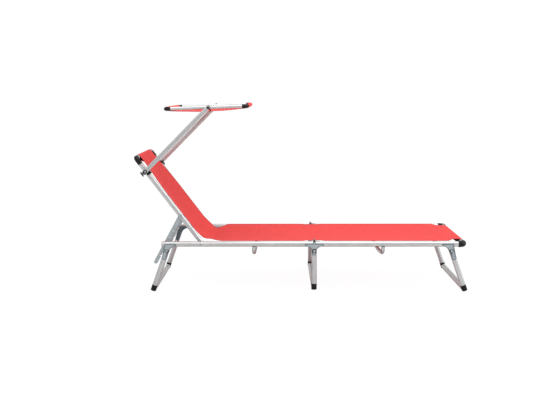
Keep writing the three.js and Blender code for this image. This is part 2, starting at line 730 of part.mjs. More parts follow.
// The canopy's fabric hangs between its cross tubes, from their undersides.
function addCanopyCloth(canopy) {
  const half = canopyHalfSpacing - canopyElbow.radius - touchGap;
  const middle = (canopyFront - canopyRear) / 2;
  const span = (canopyFront + canopyRear) / 2;
  const height = (x) => hollow(x - middle, span, cloth.canopySag);
  const drop = -canopyTube.radius - clothGap - cloth.thickness;
  const from = middle - span;
  const to = middle + span;
  const clear = canopyElbow.radius + clothGap;
  const barHalf = canopyHalfSpacing - canopyElbow.barArm - clothGap;
  const geometry = cut(
    sheet(from, to, half, height),
    ...edgeCuts(from - overrun, from + clear, barHalf),
    ...edgeCuts(to - clear, to + overrun, barHalf),
  );
  add(canopy, "canopy_fabric", geometry, "cloth").position.z = drop;
}

// Put together

const lounger = new THREE.Group();
for (const side of sides) {
  addHeadRail(lounger, side);
  addFootRail(lounger, side);
  addMidBracket(lounger, side);
  addPivotBolt(lounger, side);
  addHeadLegBracket(lounger, side);
  addFootLegBracket(lounger, side);
}
addFootEnd(lounger);
addBow(lounger, "seat_bow_head", -headBowDistance);
addBow(lounger, "seat_bow_foot", footBowDistance);
addLeg(lounger, "head", -headLegDistance, legLean, 0);
addLeg(lounger, "mid", 0, 0, midFootClearance);
addLeg(lounger, "foot", footLegDistance, -legLean, 0);
const back = addBackrest(lounger);
for (const side of sides) addStrut(back, side);
addBackCloth(back);
addCanopy(addArms(lounger));
addSeatCloth(lounger);
addFootCloth(lounger);

// The origin is on the ground, midway between the two ends.
const bounds = new THREE.Box3().setFromObject(lounger, true);
lounger.position.x = -(bounds.min.x + bounds.max.x) / 2;

export default lounger;
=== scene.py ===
"""Folding sun lounger with canopy: the visible pieces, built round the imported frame.

Metres, +Z up, +X to the foot end.
"""

import bisect
import json
import math

import bmesh
import bpy
from bpy.props import FloatProperty, FloatVectorProperty, PointerProperty
from mathutils import Matrix, Vector


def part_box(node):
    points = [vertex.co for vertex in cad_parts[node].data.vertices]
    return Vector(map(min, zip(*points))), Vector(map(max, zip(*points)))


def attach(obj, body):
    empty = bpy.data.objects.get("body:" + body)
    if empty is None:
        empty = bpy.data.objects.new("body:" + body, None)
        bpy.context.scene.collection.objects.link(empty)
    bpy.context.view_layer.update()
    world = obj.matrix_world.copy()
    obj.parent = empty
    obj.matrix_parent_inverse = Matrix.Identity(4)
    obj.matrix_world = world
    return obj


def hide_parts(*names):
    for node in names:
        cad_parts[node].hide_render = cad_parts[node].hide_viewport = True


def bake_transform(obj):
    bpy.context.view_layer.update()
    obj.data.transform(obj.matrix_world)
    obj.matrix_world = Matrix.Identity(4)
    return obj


bl_info = {
    "name": "Sun lounger with canopy",
    "version": (1, 0, 0),
    "blender": (4, 5, 0),
    "location": "3D View > Sidebar > Lounger",
    "description": "Builds the visible pieces of a folding sun lounger round its packed frame",
    "category": "Object",
}

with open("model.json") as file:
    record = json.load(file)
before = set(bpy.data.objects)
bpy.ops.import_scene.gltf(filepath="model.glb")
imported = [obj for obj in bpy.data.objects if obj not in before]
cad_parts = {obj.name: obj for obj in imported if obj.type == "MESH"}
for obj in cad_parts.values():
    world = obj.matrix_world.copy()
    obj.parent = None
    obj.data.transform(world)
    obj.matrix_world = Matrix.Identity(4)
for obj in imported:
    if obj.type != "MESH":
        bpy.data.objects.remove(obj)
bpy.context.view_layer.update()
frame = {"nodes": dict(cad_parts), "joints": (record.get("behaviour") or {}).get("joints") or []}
places = {joint["name"]: Vector(joint["pos_m"]) for joint in frame["joints"]}

# Each side of the lounger with its direction along Y
SIDES = {"right": -1, "left": 1}
LEGS = ("head", "mid", "foot")
BOWS = (("seat_bow_head", "head_frame"), ("seat_bow_foot", "foot_frame"))
RIGHT_ANGLE = math.pi / 2
FULL_TURN = math.pi * 2
# Turns that bring a shape's Z to +Y, and to -X
Z_TO_Y = Matrix.Rotation(-RIGHT_ANGLE, 4, "X")
Z_TO_BACK = Matrix.Rotation(-RIGHT_ANGLE, 4, "Y")
MERGE_DISTANCE = 1e-6
# The small step by which one piece stands clear of another, or is let into it
TOUCH_GAP = 0.0003
WHITE = (1, 1, 1, 1)


def linear(hex_colour):
    """The linear values of an sRGB hex colour, with alpha."""
    channels = [int(hex_colour[i : i + 2], 16) / 255 for i in (1, 3, 5)]
    return [c / 12.92 if c <= 0.04045 else ((c + 0.055) / 1.055) ** 2.4 for c in channels] + [1.0]


def length_property(name, description, default):
    return FloatProperty(
        name=name, description=description, default=default, min=0.0, unit="LENGTH", subtype="DISTANCE"
    )


def colour_property(name, description, hex_colour):
    colour = linear(hex_colour)
    return FloatVectorProperty(
        name=name, description=description, default=colour, size=4, min=0.0, max=1.0, subtype="COLOR"
    )


class LoungerSizes(bpy.types.PropertyGroup):
    """Sizes of the lounger's visible pieces"""

    rail_radius: length_property("Rail radius", "Radius of the rails, legs and end bar", 0.0135)
    back_radius: length_property("Backrest tube radius", "Radius of the backrest's tubes", 0.012)
    canopy_radius: length_property("Canopy tube radius", "Radius of the canopy's tubes", 0.009)
    tube_wall: length_property("Tube wall", "Wall thickness of the tubes", 0.0012)
    back_length: length_property("Backrest length", "From the recline pivot to the top bar", 0.545)
    canopy_rear: length_property("Canopy rear", "From the tilt pivot to the rear tube", 0.214)
    canopy_front: length_property("Canopy front", "From the tilt pivot to the front tube", 0.194)
    cloth_thickness: length_property("Cloth thickness", "Thickness of the woven fabric", 0.0012)
    hem_width: length_property("Hem width", "Width of the sewn hems", 0.018)
    fold_radius: length_property("Fold radius", "How softly the cloth turns from backrest to seat", 0.14)
    seat_sag: length_property("Seat sag", "How far the seat's middle hangs below the rails", 0.012)
    back_sag: length_property("Backrest sag", "How far the backrest's middle hangs back", 0.009)
    canopy_sag: length_property("Canopy sag", "How far the canopy's middle hangs below its tubes", 0.0105)


class LoungerColours(bpy.types.PropertyGroup):
    """Colours of the lounger's finishes"""

    aluminium: colour_property("Aluminium", "Natural anodised tube", "#D8D9D9")
    zinc: colour_property("Zinc", "Zinc-plated steel", "#C2CACD")
    plastic: colour_property("Plastic", "Black moulded fittings", "#0E0E0F")
    fabric: colour_property("Fabric", "Coral-red woven fabric", "#EA4947")
    thread: colour_property("Thread", "Sewing thread of the hems", "#C9413F")
    floor: colour_property("Floor", "Pale studio floor", "#DADADA")


# Materials


def add_node(tree, kind, values=None, links=None, **settings):
    """Add a node with its settings, its socket values and its incoming links."""
    node = tree.nodes.new(kind)
    for name, value in settings.items():
        setattr(node, name, value)
    for name, value in (values or {}).items():
        node.inputs[name].default_value = value
    for name, socket in (links or {}).items():
        tree.links.new(socket, node.inputs[name])
    return node


def toned(colour, *shares):
    """A colour with its red, green and blue each multiplied by a share."""
    return (*(channel * share for channel, share in zip(colour, shares)), 1)


def new_material(name, constants):
    """An empty node material with its output and a principled shader that has the given constants."""
    made = bpy.data.materials.new(name)
    made.use_nodes = True
    tree = made.node_tree
    tree.nodes.clear()
    shader = add_node(tree, "ShaderNodeBsdfPrincipled", constants)
    add_node(tree, "ShaderNodeOutputMaterial", links={"Surface": shader.outputs["BSDF"]})
    return made, tree, shader


def drawn_anodised_aluminium(colours):
    """Aluminium tube, drawn through a die and anodised: fine lines along it and a soft satin gloss."""
    made, tree, shader = new_material("drawn_anodised_aluminium", {"Metallic": 1.0})
    line_gap, line_length, mark_size = 0.0008, 0.09, 0.06
    base = colours.aluminium
    # Die lines
    uv = add_node(tree, "ShaderNodeUVMap", uv_map="wrap").outputs["UV"]
    scale = {"Scale": (1 / line_gap, 1 / line_length, 1.0)}
    stretched = add_node(tree, "ShaderNodeMapping", scale, {"Vector": uv}).outputs["Vector"]
    fine = {"Scale": 1.0, "Detail": 3.0}
    lines = add_node(tree, "ShaderNodeTexNoise", fine, {"Vector": stretched}).outputs["Fac"]
    # Handling marks
    place = add_node(tree, "ShaderNodeTexCoord").outputs["Object"]
    wide = {"Scale": 1 / mark_size, "Detail": 4.0}
    marks = add_node(tree, "ShaderNodeTexNoise", wide, {"Vector": place}).outputs["Fac"]
    tint = add_node(tree, "ShaderNodeValToRGB", links={"Fac": marks})
    stops = ((0.35, toned(base, 0.90, 0.90, 0.91)), (0.7, tuple(base)))
    for stop, (position, colour) in zip(tint.color_ramp.elements, stops):
        stop.position = position
        stop.color = colour
    gloss = {"From Min": 0.3, "From Max": 0.7, "To Min": 0.36, "To Max": 0.46}
    rough = add_node(tree, "ShaderNodeMapRange", gloss, {"Value": lines})
    bump = add_node(tree, "ShaderNodeBump", {"Strength": 0.03, "Distance": 0.0001}, {"Height": lines})
    tree.links.new(tint.outputs["Color"], shader.inputs["Base Color"])
    tree.links.new(rough.outputs["Result"], shader.inputs["Roughness"])
    tree.links.new(bump.outputs["Normal"], shader.inputs["Normal"])
    return made


def zinc_plated_steel(colours):
    """Stamped steel, zinc plated: pale blue-grey, with a faint mottle, scuffs and painted shade on its
    stamped rims.
    """
    made, tree, shader = new_material("zinc_plated_steel", {"Metallic": 1.0})
    mottle_size, scuff_size, mottle_share = 0.003, 0.012, 0.35
    base = colours.zinc
    place = add_node(tree, "ShaderNodeTexCoord").outputs["Object"]
    mottle = add_node(tree, "ShaderNodeTexVoronoi", {"Scale": 1 / mottle_size}, {"Vector": place})
    wide = {"Scale": 1 / scuff_size, "Detail": 6.0}
    scuffs = add_node(tree, "ShaderNodeTexNoise", wide, {"Vector": place}).outputs["Fac"]
    both = {"A": scuffs, "B": mottle.outputs["Distance"]}
    blend = add_node(tree, "ShaderNodeMix", {"Factor": mottle_share}, both, data_type="FLOAT")
    tint = add_node(tree, "ShaderNodeValToRGB", links={"Fac": blend.outputs[0]})
    stops = ((0.25, toned(base, 0.72, 0.75, 0.77)), (0.65, tuple(base)))
    for stop, (position, colour) in zip(tint.color_ramp.elements, stops):
        stop.position = position
        stop.color = colour
    # The stamped rims, which raise_faces marks, darkened as painted shade
    rim = add_node(tree, "ShaderNodeAttribute", attribute_name="rim").outputs["Fac"]
    painted_rim_shade = {"B": toned(base, 0.24, 0.28, 0.31)}
    under = {"Factor": rim, "A": tint.outputs["Color"]}
    rim_shaded = add_node(tree, "ShaderNodeMix", painted_rim_shade, under, data_type="RGBA")
    gloss = {"From Min": 0.3, "From Max": 0.7, "To Min": 0.34, "To Max": 0.5}
    rough = add_node(tree, "ShaderNodeMapRange", gloss, {"Value": scuffs})
    bump = add_node(tree, "ShaderNodeBump", {"Strength": 0.15, "Distance": 0.0002}, {"Height": scuffs})
    tree.links.new(rim_shaded.outputs[2], shader.inputs["Base Color"])
    tree.links.new(rough.outputs["Result"], shader.inputs["Roughness"])
    tree.links.new(bump.outputs["Normal"], shader.inputs["Normal"])
    return made


def moulded_polypropylene(colours):
    """Injection-moulded black polypropylene: a fine spark-eroded grain and a dull, uneven gloss."""
    constants = {"IOR": 1.49, "Specular IOR Level": 0.3}
    made, tree, shader = new_material("moulded_polypropylene", constants)
    # The real grain is 0.2 mm, and it is drawn at 0.7 mm so that it shows
    grain_size, dust_size = 0.0007, 0.014
    base = colours.plastic
    place = add_node(tree, "ShaderNodeTexCoord").outputs["Object"]
    fine = {"Scale": 1 / grain_size, "Detail": 2.0}
    grain = add_node(tree, "ShaderNodeTexNoise", fine, {"Vector": place}).outputs["Fac"]
    wide = {"Scale": 1 / dust_size, "Detail": 5.0}
    dust = add_node(tree, "ShaderNodeTexNoise", wide, {"Vector": place}).outputs["Fac"]
    tint = add_node(tree, "ShaderNodeValToRGB", links={"Fac": dust})
    stops = ((0.4, tuple(base)), (0.8, toned(base, 2.4, 2.4, 2.3)))
    for stop, (position, colour) in zip(tint.color_ramp.elements, stops):
        stop.position = position
        stop.color = colour
    gloss = {"From Min": 0.3, "From Max": 0.7, "To Min": 0.42, "To Max": 0.6}
    rough = add_node(tree, "ShaderNodeMapRange", gloss, {"Value": dust})
    bump = add_node(tree, "ShaderNodeBump", {"Strength": 0.25, "Distance": 0.0002}, {"Height": grain})
    tree.links.new(tint.outputs["Color"], shader.inputs["Base Color"])
    tree.links.new(rough.outputs["Result"], shader.inputs["Roughness"])
    tree.links.new(bump.outputs["Normal"], shader.inputs["Normal"])
    return made


def woven_polyester(colours):
    """Coated polyester, plain woven: matt, with threads both ways, double hems sewn with one row and painted
    shade on the hems.
    """
    constants = {"Sheen Weight": 0.05, "Sheen Roughness": 0.5, "Specular IOR Level": 0.12}
    made, tree, shader = new_material("woven_polyester", constants)
    # The real threads are about 0.6 mm apart. The waves drawn for them are 9.4 mm apart: 1.5 mm for
    # each radian, of which the texture turns 20 in one unit of its scale
    radian_length, unit_turn, slub_size = 0.0015, 20, 0.05
    base = colours.fabric
    flat = add_node(tree, "ShaderNodeUVMap", uv_map="flat").outputs["UV"]
    waves = {"Scale": 1 / (unit_turn * radian_length), "Distortion": 0.4, "Detail": 1.0}
    threads = {}
    for way in ("X", "Y"):
        bands = {"wave_type": "BANDS", "bands_direction": way}
        threads[way] = add_node(tree, "ShaderNodeTexWave", waves, {"Vector": flat}, **bands).outputs["Fac"]
    both = {0: threads["X"], 1: threads["Y"]}
    weave = add_node(tree, "ShaderNodeMath", links=both, operation="MULTIPLY").outputs["Value"]
    wide = {"Scale": 1 / slub_size, "Detail": 5.0}
    slub = add_node(tree, "ShaderNodeTexNoise", wide, {"Vector": flat}).outputs["Fac"]
    tint = add_node(tree, "ShaderNodeValToRGB", links={"Fac": slub})
    stops = ((0.3, toned(base, 0.93, 0.88, 0.88)), (0.7, tuple(base)))
    for stop, (position, colour) in zip(tint.color_ramp.elements, stops):
        stop.position = position
        stop.color = colour
    # Darker between the threads
    shade = {"From Min": 0.0, "From Max": 0.5, "To Min": 0.90, "To Max": 1.0}
    between = add_node(tree, "ShaderNodeMapRange", shade, {"Value": weave})
    layers = {"A": tint.outputs["Color"], "B": between.outputs["Result"]}
    multiply = {"data_type": "RGBA", "blend_type": "MULTIPLY"}
    woven = add_node(tree, "ShaderNodeMix", {"Factor": 1.0}, layers, **multiply)
    # The hems over the weave, darkened as painted shade along the cloth's side edges, and their stitches over
    # both
    band, stitch, raised = hem_marks(tree)
    painted_hem_shade = {"B": toned(base, 0.70, 0.62, 0.64)}
    under_hem = {"Factor": band, "A": woven.outputs[2]}
    hemmed = add_node(tree, "ShaderNodeMix", painted_hem_shade, under_hem, data_type="RGBA")
    thread = {"B": tuple(colours.thread)}
    under_thread = {"Factor": stitch, "A": hemmed.outputs[2]}
    sewn = add_node(tree, "ShaderNodeMix", thread, under_thread, data_type="RGBA")
    rough = add_node(tree, "ShaderNodeMapRange", {"To Min": 0.92, "To Max": 0.78}, {"Value": weave})
    height = add_node(tree, "ShaderNodeMath", links={0: weave, 1: raised}, operation="ADD").outputs["Value"]
    bump = add_node(tree, "ShaderNodeBump", {"Strength": 0.25, "Distance": 0.0004}, {"Height": height})
    tree.links.new(sewn.outputs[2], shader.inputs["Base Color"])
    tree.links.new(rough.outputs["Result"], shader.inputs["Roughness"])
    tree.links.new(bump.outputs["Normal"], shader.inputs["Normal"])
    return made


def hem_marks(tree):
    """The hem band, its row of stitches and their height, from the distance to the cloth's side edge."""
    row, half_thread, stitch_pitch, stitch_share = 0.0145, 0.0007, 0.004, 0.7
    edge = add_node(tree, "ShaderNodeUVMap", uv_map="edge").outputs["UV"]
    apart = add_node(tree, "ShaderNodeSeparateXYZ", links={"Vector": edge}).outputs
    from_edge = {0: apart["X"]}
    inside = {1: sizes().hem_width}
    band = add_node(tree, "ShaderNodeMath", inside, from_edge, operation="LESS_THAN").outputs["Value"]
    # Near the row of stitches, and then within a stitch of that row
    on_row, dash = apart["X"], apart["Y"]
    for operation, value in (("SUBTRACT", row), ("ABSOLUTE", 0.0), ("LESS_THAN", half_thread)):
        step = add_node(tree, "ShaderNodeMath", {1: value}, {0: on_row}, operation=operation)
        on_row = step.outputs["Value"]
    for operation, value in (("MULTIPLY", 1 / stitch_pitch), ("FRACT", 0.0), ("LESS_THAN", stitch_share)):
        step = add_node(tree, "ShaderNodeMath", {1: value}, {0: dash}, operation=operation)
        dash = step.outputs["Value"]
    both = {0: on_row, 1: dash}
    stitch = add_node(tree, "ShaderNodeMath", links=both, operation="MULTIPLY").outputs["Value"]
    less = {0: stitch, 2: band}
    raised = add_node(tree, "ShaderNodeMath", {1: -1.0}, less, operation="MULTIPLY_ADD").outputs["Value"]
    return band, stitch, raised


def material(name):
    """A finish of the lounger, made on first use."""
    makers = {
        "drawn_anodised_aluminium": drawn_anodised_aluminium,
        "zinc_plated_steel": zinc_plated_steel,
        "moulded_polypropylene": moulded_polypropylene,
        "woven_polyester": woven_polyester,
    }
    return bpy.data.materials.get(name) or makers[name](bpy.context.scene.lounger_colours)


ALUMINIUM = ("drawn_anodised_aluminium", "aluminium_tube")
STEEL = ("zinc_plated_steel", "zinc_steel")
PLASTIC = ("moulded_polypropylene", "black_plastic")
FABRIC = ("woven_polyester", "woven_fabric")


# Shapes


def turn_outwards(bm):
    bmesh.ops.recalc_face_normals(bm, faces=bm.faces)


def close_shell(bm):
    """Merge the vertices that meet and turn the faces outwards."""
    bmesh.ops.remove_doubles(bm, verts=bm.verts, dist=MERGE_DISTANCE)
    turn_outwards(bm)


def lay_out(bm, lengths):
    """Write the wrap UV of each corner, as two lengths that a function reads from its place."""
    wrap = bm.loops.layers.uv.new("wrap")
    for face in bm.faces:
        for loop in face.loops:
            loop[wrap].uv = lengths(loop.vert.co)


def spun(profile, closed=False, steps=40):
    """A profile of (radius, height) points spun round Z, with lengths round and along it as UV."""
    bm = bmesh.new()
    verts = [bm.verts.new((radius, 0.0, height)) for radius, height in profile]
    pairs = list(zip(verts, verts[1:])) + ([(verts[-1], verts[0])] if closed else [])
    edges = [bm.edges.new(pair) for pair in pairs]
    bmesh.ops.spin(
        bm, geom=verts + edges, cent=(0, 0, 0), axis=(0, 0, 1), angle=FULL_TURN, steps=steps, use_merge=True
    )
    close_shell(bm)
    wrap = bm.loops.layers.uv.new("wrap")
    for face in bm.faces:
        centre = face.calc_center_median()
        middle = math.atan2(centre.y, centre.x)
        for loop in face.loops:
            co = loop.vert.co
            turn = math.atan2(co.y, co.x) - middle
            turn -= FULL_TURN * round(turn / FULL_TURN)
            loop[wrap].uv = ((middle + turn) * max(centre.xy.length, 0.001), co.z)
    return bm


def tube_shape(radius, wall, length):
    """An open tube along +Z with its rims eased."""
    ease = 0.0003
    profile = [
        (radius - wall, 0.0),
        (radius - ease, 0.0),
        (radius, ease),
        (radius, length - ease),
        (radius - ease, length),
        (radius - wall, length),
    ]
    return spun(profile, closed=True)


def pin_shape(radius, low, high, ease=0.0005, steps=32):
    """A solid round pin along Z with eased ends."""
    flat = radius - ease
    profile = [(0.0, low), (flat, low), (radius, low + ease)]
    profile += [(radius, high - ease), (flat, high), (0.0, high)]
    return spun(profile, steps=steps)


def dome_shape(radius, height):
    """A rivet or bolt head on the XY plane: a straight rim for 0.3 of its height, rounded above."""
    rim_share = 0.3
    profile = [(0.0, 0.0), (radius, 0.0), (radius, height * rim_share)]
    count = 6
    for i in range(1, count + 1):
        turn = RIGHT_ANGLE * i / count
        profile.append((radius * math.cos(turn), height * (rim_share + (1 - rim_share) * math.sin(turn))))
    return spun(profile, steps=32)


def eased(bm, edges, ease, segments, clamp=False):
    """Round the given edges of a shape."""
    bmesh.ops.bevel(
        bm,
        geom=edges,
        offset=ease,
        offset_type="OFFSET",
        segments=segments,
        profile=0.5,
        affect="EDGES",
        clamp_overlap=clamp,
        material=-1,
    )
    return bm


def nut_shape(depth, ease):
    """A hexagon nut centred on the origin, its axis along Z."""
    radius = 0.0068
    bm = bmesh.new()
    bmesh.ops.create_cone(bm, cap_ends=True, segments=6, radius1=radius, radius2=radius, depth=depth)
    return eased(bm, bm.edges[:], ease, 2)


def block_shape(size, ease, segments=3):
    """A box centred on the origin with eased edges."""
    bm = bmesh.new()
    bmesh.ops.create_cube(bm, size=1.0, matrix=Matrix.Diagonal((*size, 1.0)))
    return eased(bm, bm.edges[:], ease, segments)


def moved(bm, *matrices):
    """A shape moved by one matrix after another."""
    for matrix in matrices:
        bmesh.ops.transform(bm, matrix=matrix, verts=bm.verts)
    return bm


def verts_of(geometry):
    return [g for g in geometry if isinstance(g, bmesh.types.BMVert)]


def edges_of(geometry):
    return [g for g in geometry if isinstance(g, bmesh.types.BMEdge)]


def joined(*parts):
    """Several shapes as one, each part still a closed shell."""
    whole = bmesh.new()
    for part in parts:
        mesh = bpy.data.meshes.new("part")
        part.to_mesh(mesh)
        part.free()
        whole.from_mesh(mesh)
        bpy.data.meshes.remove(mesh)
    return whole


def stood(origin, direction, side):
    """A placement whose Z runs along a direction in the XZ plane, and whose Y stays across the lounger."""
    up = Vector(direction).normalized()
    across = Vector((0.0, 1.0, 0.0))
    front = across.cross(up)
    turn = Matrix((front, across, up)).transposed().to_4x4()
    return Matrix.Translation(Vector(origin)) @ turn @ Matrix.Diagonal((1.0, float(side), 1.0, 1.0))


def pointed(origin, direction):
    """A placement whose Z runs along any direction."""
    return Matrix.Translation(Vector(origin)) @ Vector(direction).to_track_quat("Z", "Y").to_matrix().to_4x4()


def elbow_shape(radius, tube_arm, bar_arm, bend):
    """A moulded elbow: arms along +Z and +Y, a round bend between them, and an eased rim on each mouth."""
    bm = bmesh.new()
    ring = bmesh.ops.create_circle(bm, cap_ends=False, segments=32, radius=radius)
    bmesh.ops.translate(bm, verts=ring["verts"], vec=(0, 0, bend))
    edges = bm.edges[:]
    arm_z = bmesh.ops.extrude_edge_only(bm, edges=edges)["geom"]
    bmesh.ops.translate(bm, verts=verts_of(arm_z), vec=(0, 0, tube_arm - bend))
    turned = bmesh.ops.spin(
        bm,
        geom=ring["verts"] + edges,
        cent=(0, bend, bend),
        axis=(1, 0, 0),
        angle=RIGHT_ANGLE,
        steps=10,
    )["geom_last"]
    arm_y = bmesh.ops.extrude_edge_only(bm, edges=edges_of(turned))["geom"]
    bmesh.ops.translate(bm, verts=verts_of(arm_y), vec=(0, bar_arm - bend, 0))
    bmesh.ops.remove_doubles(bm, verts=bm.verts, dist=MERGE_DISTANCE)
    close_mouth(bm, Vector((0, 0, tube_arm)), 2)
    close_mouth(bm, Vector((0, bar_arm, 0)), 1)
    turn_outwards(bm)
    return bm


def close_mouth(bm, centre, axis):
    """Ease the open ring round a mouth and close it."""
    rim, near = 0.0005, 1e-5
    level = centre[axis]
    edges = [e for e in bm.edges if e.is_boundary and all(abs(v.co[axis] - level) < near for v in e.verts)]
    inner = bmesh.ops.extrude_edge_only(bm, edges=edges)["geom"]
    for vert in verts_of(inner):
        offset = vert.co - centre
        vert.co = centre + offset * (1 - rim / offset.length)
        vert.co[axis] += rim
    bmesh.ops.edgeloop_fill(bm, edges=edges_of(inner))


def refined_copy(node):
    """A copy of a frame node with its flats merged and its sharp edges eased."""
    ease, near = 0.0004, 1e-5
    flat_angle, sharp_angle = math.radians(1), math.radians(50)
    bm = bmesh.new()
    bm.from_mesh(frame["nodes"][node].data)
    bmesh.ops.remove_doubles(bm, verts=bm.verts, dist=near)
    bmesh.ops.dissolve_limit(bm, angle_limit=flat_angle, verts=bm.verts, edges=bm.edges)
    sharp = [e for e in bm.edges if e.is_manifold and e.calc_face_angle() > sharp_angle]
    return eased(bm, sharp, ease, 2, clamp=True)


def raise_faces(bm, outward, plane_y):
    """Raise a soft pillow on the flats of one plane that face outwards, and mark their stamped rims for
    painted shade.
    """
    straight, near = 0.99, 0.0004
    # The inset, the height and the painted shade mark of each step
    steps = ((0.0024, 0.0004, 0.85), (0.0020, 0.0003, 0.0))
    rim = bm.verts.layers.float.new("rim")
    for vert in bm.verts:
        vert[rim] = 1.0
    flats = [
        face
        for face in bm.faces
        if face.normal.y * outward > straight and abs(face.calc_center_median().y - plane_y) < near
    ]
    for inset, height, mark in steps:
        bmesh.ops.inset_region(
            bm, faces=flats, thickness=inset, depth=height, use_even_offset=True, use_boundary=True
        )
        for face in flats:
            for vert in face.verts:
                vert[rim] = mark


# Pieces


def add_piece(name, bm, finish, body, *nodes):
    """Make a shape into a piece that rides on a body and stands for the given frame nodes."""
    sharp_turn = math.radians(38)
    mesh = bpy.data.meshes.new(name)
    bm.to_mesh(mesh)
    bm.free()
    piece = bpy.data.objects.new(name, mesh)
    bpy.context.scene.collection.objects.link(piece)
    mesh.materials.append(material(finish[0]))
    mesh.shade_smooth()
    mesh.set_sharp_from_angle(angle=sharp_turn)
    if body:
        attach(piece, body)
    if nodes:
        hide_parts(*nodes)
    return piece


def fit_piece(name, bm, place, finish, body, *nodes):
    """Place a shape, turn its faces outwards and make it into a piece."""
    moved(bm, place)
    turn_outwards(bm)
    add_piece(name, bm, finish, body, *nodes)


def stamped_piece(name, bm, body, node):
    """A piece of sheet steel whose large flats lead its shading."""
    piece = add_piece(name, bm, STEEL, body, node)
    piece.modifiers.new("even_flats", "WEIGHTED_NORMAL").keep_sharp = True


def sizes():
    return bpy.context.scene.lounger_sizes


def middle_of(node):
    low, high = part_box(node)
    return (low + high) / 2


def face_of(node, outward):
    """How far a node reaches towards one side of the lounger."""
    low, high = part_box(node)
    return high.y if outward > 0 else low.y


def facing_out(bm, x, y, z, outward):
    """A shape moved to a point, with its Z turned to one side of the lounger."""
    return moved(bm, pointed((x, y, z), (0, outward, 0)))


def back_direction():
    return (places["canopy_arm_swing"] - places["backrest_recline"]).normalized()


def canopy_direction():
    """Along the canopy's side tube, towards the front."""
    return (middle_of("canopy_front_tube") - middle_of("canopy_rear_tube")).normalized()


def canopy_side_y(side, outward):
    """Where the canopy's side tube lies across the lounger, from its node's inner face."""
    return face_of(f"canopy_side_tube_{side}", -outward) + outward * sizes().canopy_radius


def tube_between(name, node, start, end, radius, body):
    """A tube between two points that stands for one node."""
    start, end = Vector(start), Vector(end)
    shape = tube_shape(radius, sizes().tube_wall, (end - start).length)
    add_piece(name, moved(shape, pointed(start, end - start)), ALUMINIUM, body, node)


def cross_tube(node, radius, body):
    """A tube across the lounger, as long as its node."""
    low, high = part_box(node)
    middle = middle_of(node)
    start, end = (middle.x, low.y, middle.z), (middle.x, high.y, middle.z)
    tube_between(node + "_drawn", node, start, end, radius, body)


def rail_pieces():
    radius = sizes().rail_radius
    for side in SIDES:
        for half in ("head", "foot"):
            node = f"{half}_rail_{side}"
            low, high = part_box(node)
            y = (low.y + high.y) / 2
            z = low.z + radius
            start, end = (low.x, y, z), (high.x, y, z)
            tube_between(f"{half}_rail_tube_{side}", node, start, end, radius, f"{half}_frame")
    cross_tube("foot_end_bar", radius, "foot_frame")


def hinge_tab_pieces():
    """The tab on each foot rail that the hinge pin goes through."""
    pin = places["frame_fold"]
    hole, eye, half_width = 0.0028, 0.0045, 0.004
    tongue_size, wedge_size = (0.0265, 0.008, 0.003), (0.014, 0.008, 0.0045)
    tilt = Matrix.Rotation(math.radians(28), 4, "Y")
    for side in SIDES:
        node = f"foot_rail_{side}"
        y = middle_of(node).y
        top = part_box(node)[0].z + sizes().rail_radius * 2
        profile = [(hole, -half_width), (eye, -half_width), (eye, half_width), (hole, half_width)]
        ring = facing_out(spun(profile, closed=True, steps=28), pin.x, y, pin.z, 1)
        tongue_place = Matrix.Translation((pin.x + 0.0165, y, top + 0.0008))
        tongue = moved(block_shape(tongue_size, 0.0006), tongue_place)
        wedge_place = Matrix.Translation((pin.x + 0.0085, y, pin.z - 0.0028)) @ tilt
        wedge = moved(block_shape(wedge_size, 0.0008), wedge_place)
        add_piece(f"hinge_tab_{side}", joined(ring, tongue, wedge), ALUMINIUM, "foot_frame")


def leg_pieces():
    radius = sizes().rail_radius
    above_pivot, above_bar = 0.010, 0.0193
    for leg in LEGS:
        pivot = places[f"{leg}_leg_fold"]
        bar = middle_of(f"{leg}_leg_crossbar")
        down = (bar - pivot).normalized()
        for side in SIDES:
            node = f"{leg}_leg_tube_{side}"
            y = middle_of(node).y
            top = Vector((pivot.x, y, pivot.z)) - down * above_pivot
            end = Vector((bar.x, y, bar.z)) - down * above_bar
            tube_between(node + "_drawn", node, end, top, radius, f"{leg}_leg")
        cross_tube(f"{leg}_leg_crossbar", radius, f"{leg}_leg")


def backrest_tube_pieces():
    pivot = places["backrest_recline"]
    up = back_direction()
    radius = sizes().back_radius
    below_pivot, below_bar = 0.014, 0.0373
    for side in SIDES:
        node = f"backrest_tube_{side}"
        centre = Vector((pivot.x, middle_of(node).y, pivot.z))
        start = centre - up * below_pivot
        end = centre + up * (sizes().back_length - below_bar)
        tube_between(node + "_drawn", node, start, end, radius, "backrest")
    cross_tube("backrest_top_bar", radius, "backrest")


def canopy_tube_pieces():
    """The canopy's side tubes, their collars at the tilt pivot, and its cross tubes."""
    tilt = places["canopy_tilt"]
    front = canopy_direction()
    radius = sizes().canopy_radius
    to_elbow = 0.0243
    collar_profile = [(0.0034, 0.0), (0.007, 0.0), (0.007, 0.0112), (0.0065, 0.0117), (0.0034, 0.0117)]
    for side, outward in SIDES.items():
        node = f"canopy_side_tube_{side}"
        centre = Vector((tilt.x, canopy_side_y(side, outward), tilt.z))
        start = centre - front * (sizes().canopy_rear - to_elbow)
        end = centre + front * (sizes().canopy_front - to_elbow)
        tube_between(node + "_drawn", node, start, end, radius, "canopy")
        collar = facing_out(spun(collar_profile, closed=True), *centre, outward)
        add_piece(f"canopy_collar_{side}", collar, PLASTIC, "canopy")
    for end in ("rear", "front"):
        cross_tube(f"canopy_{end}_tube", radius, "canopy")


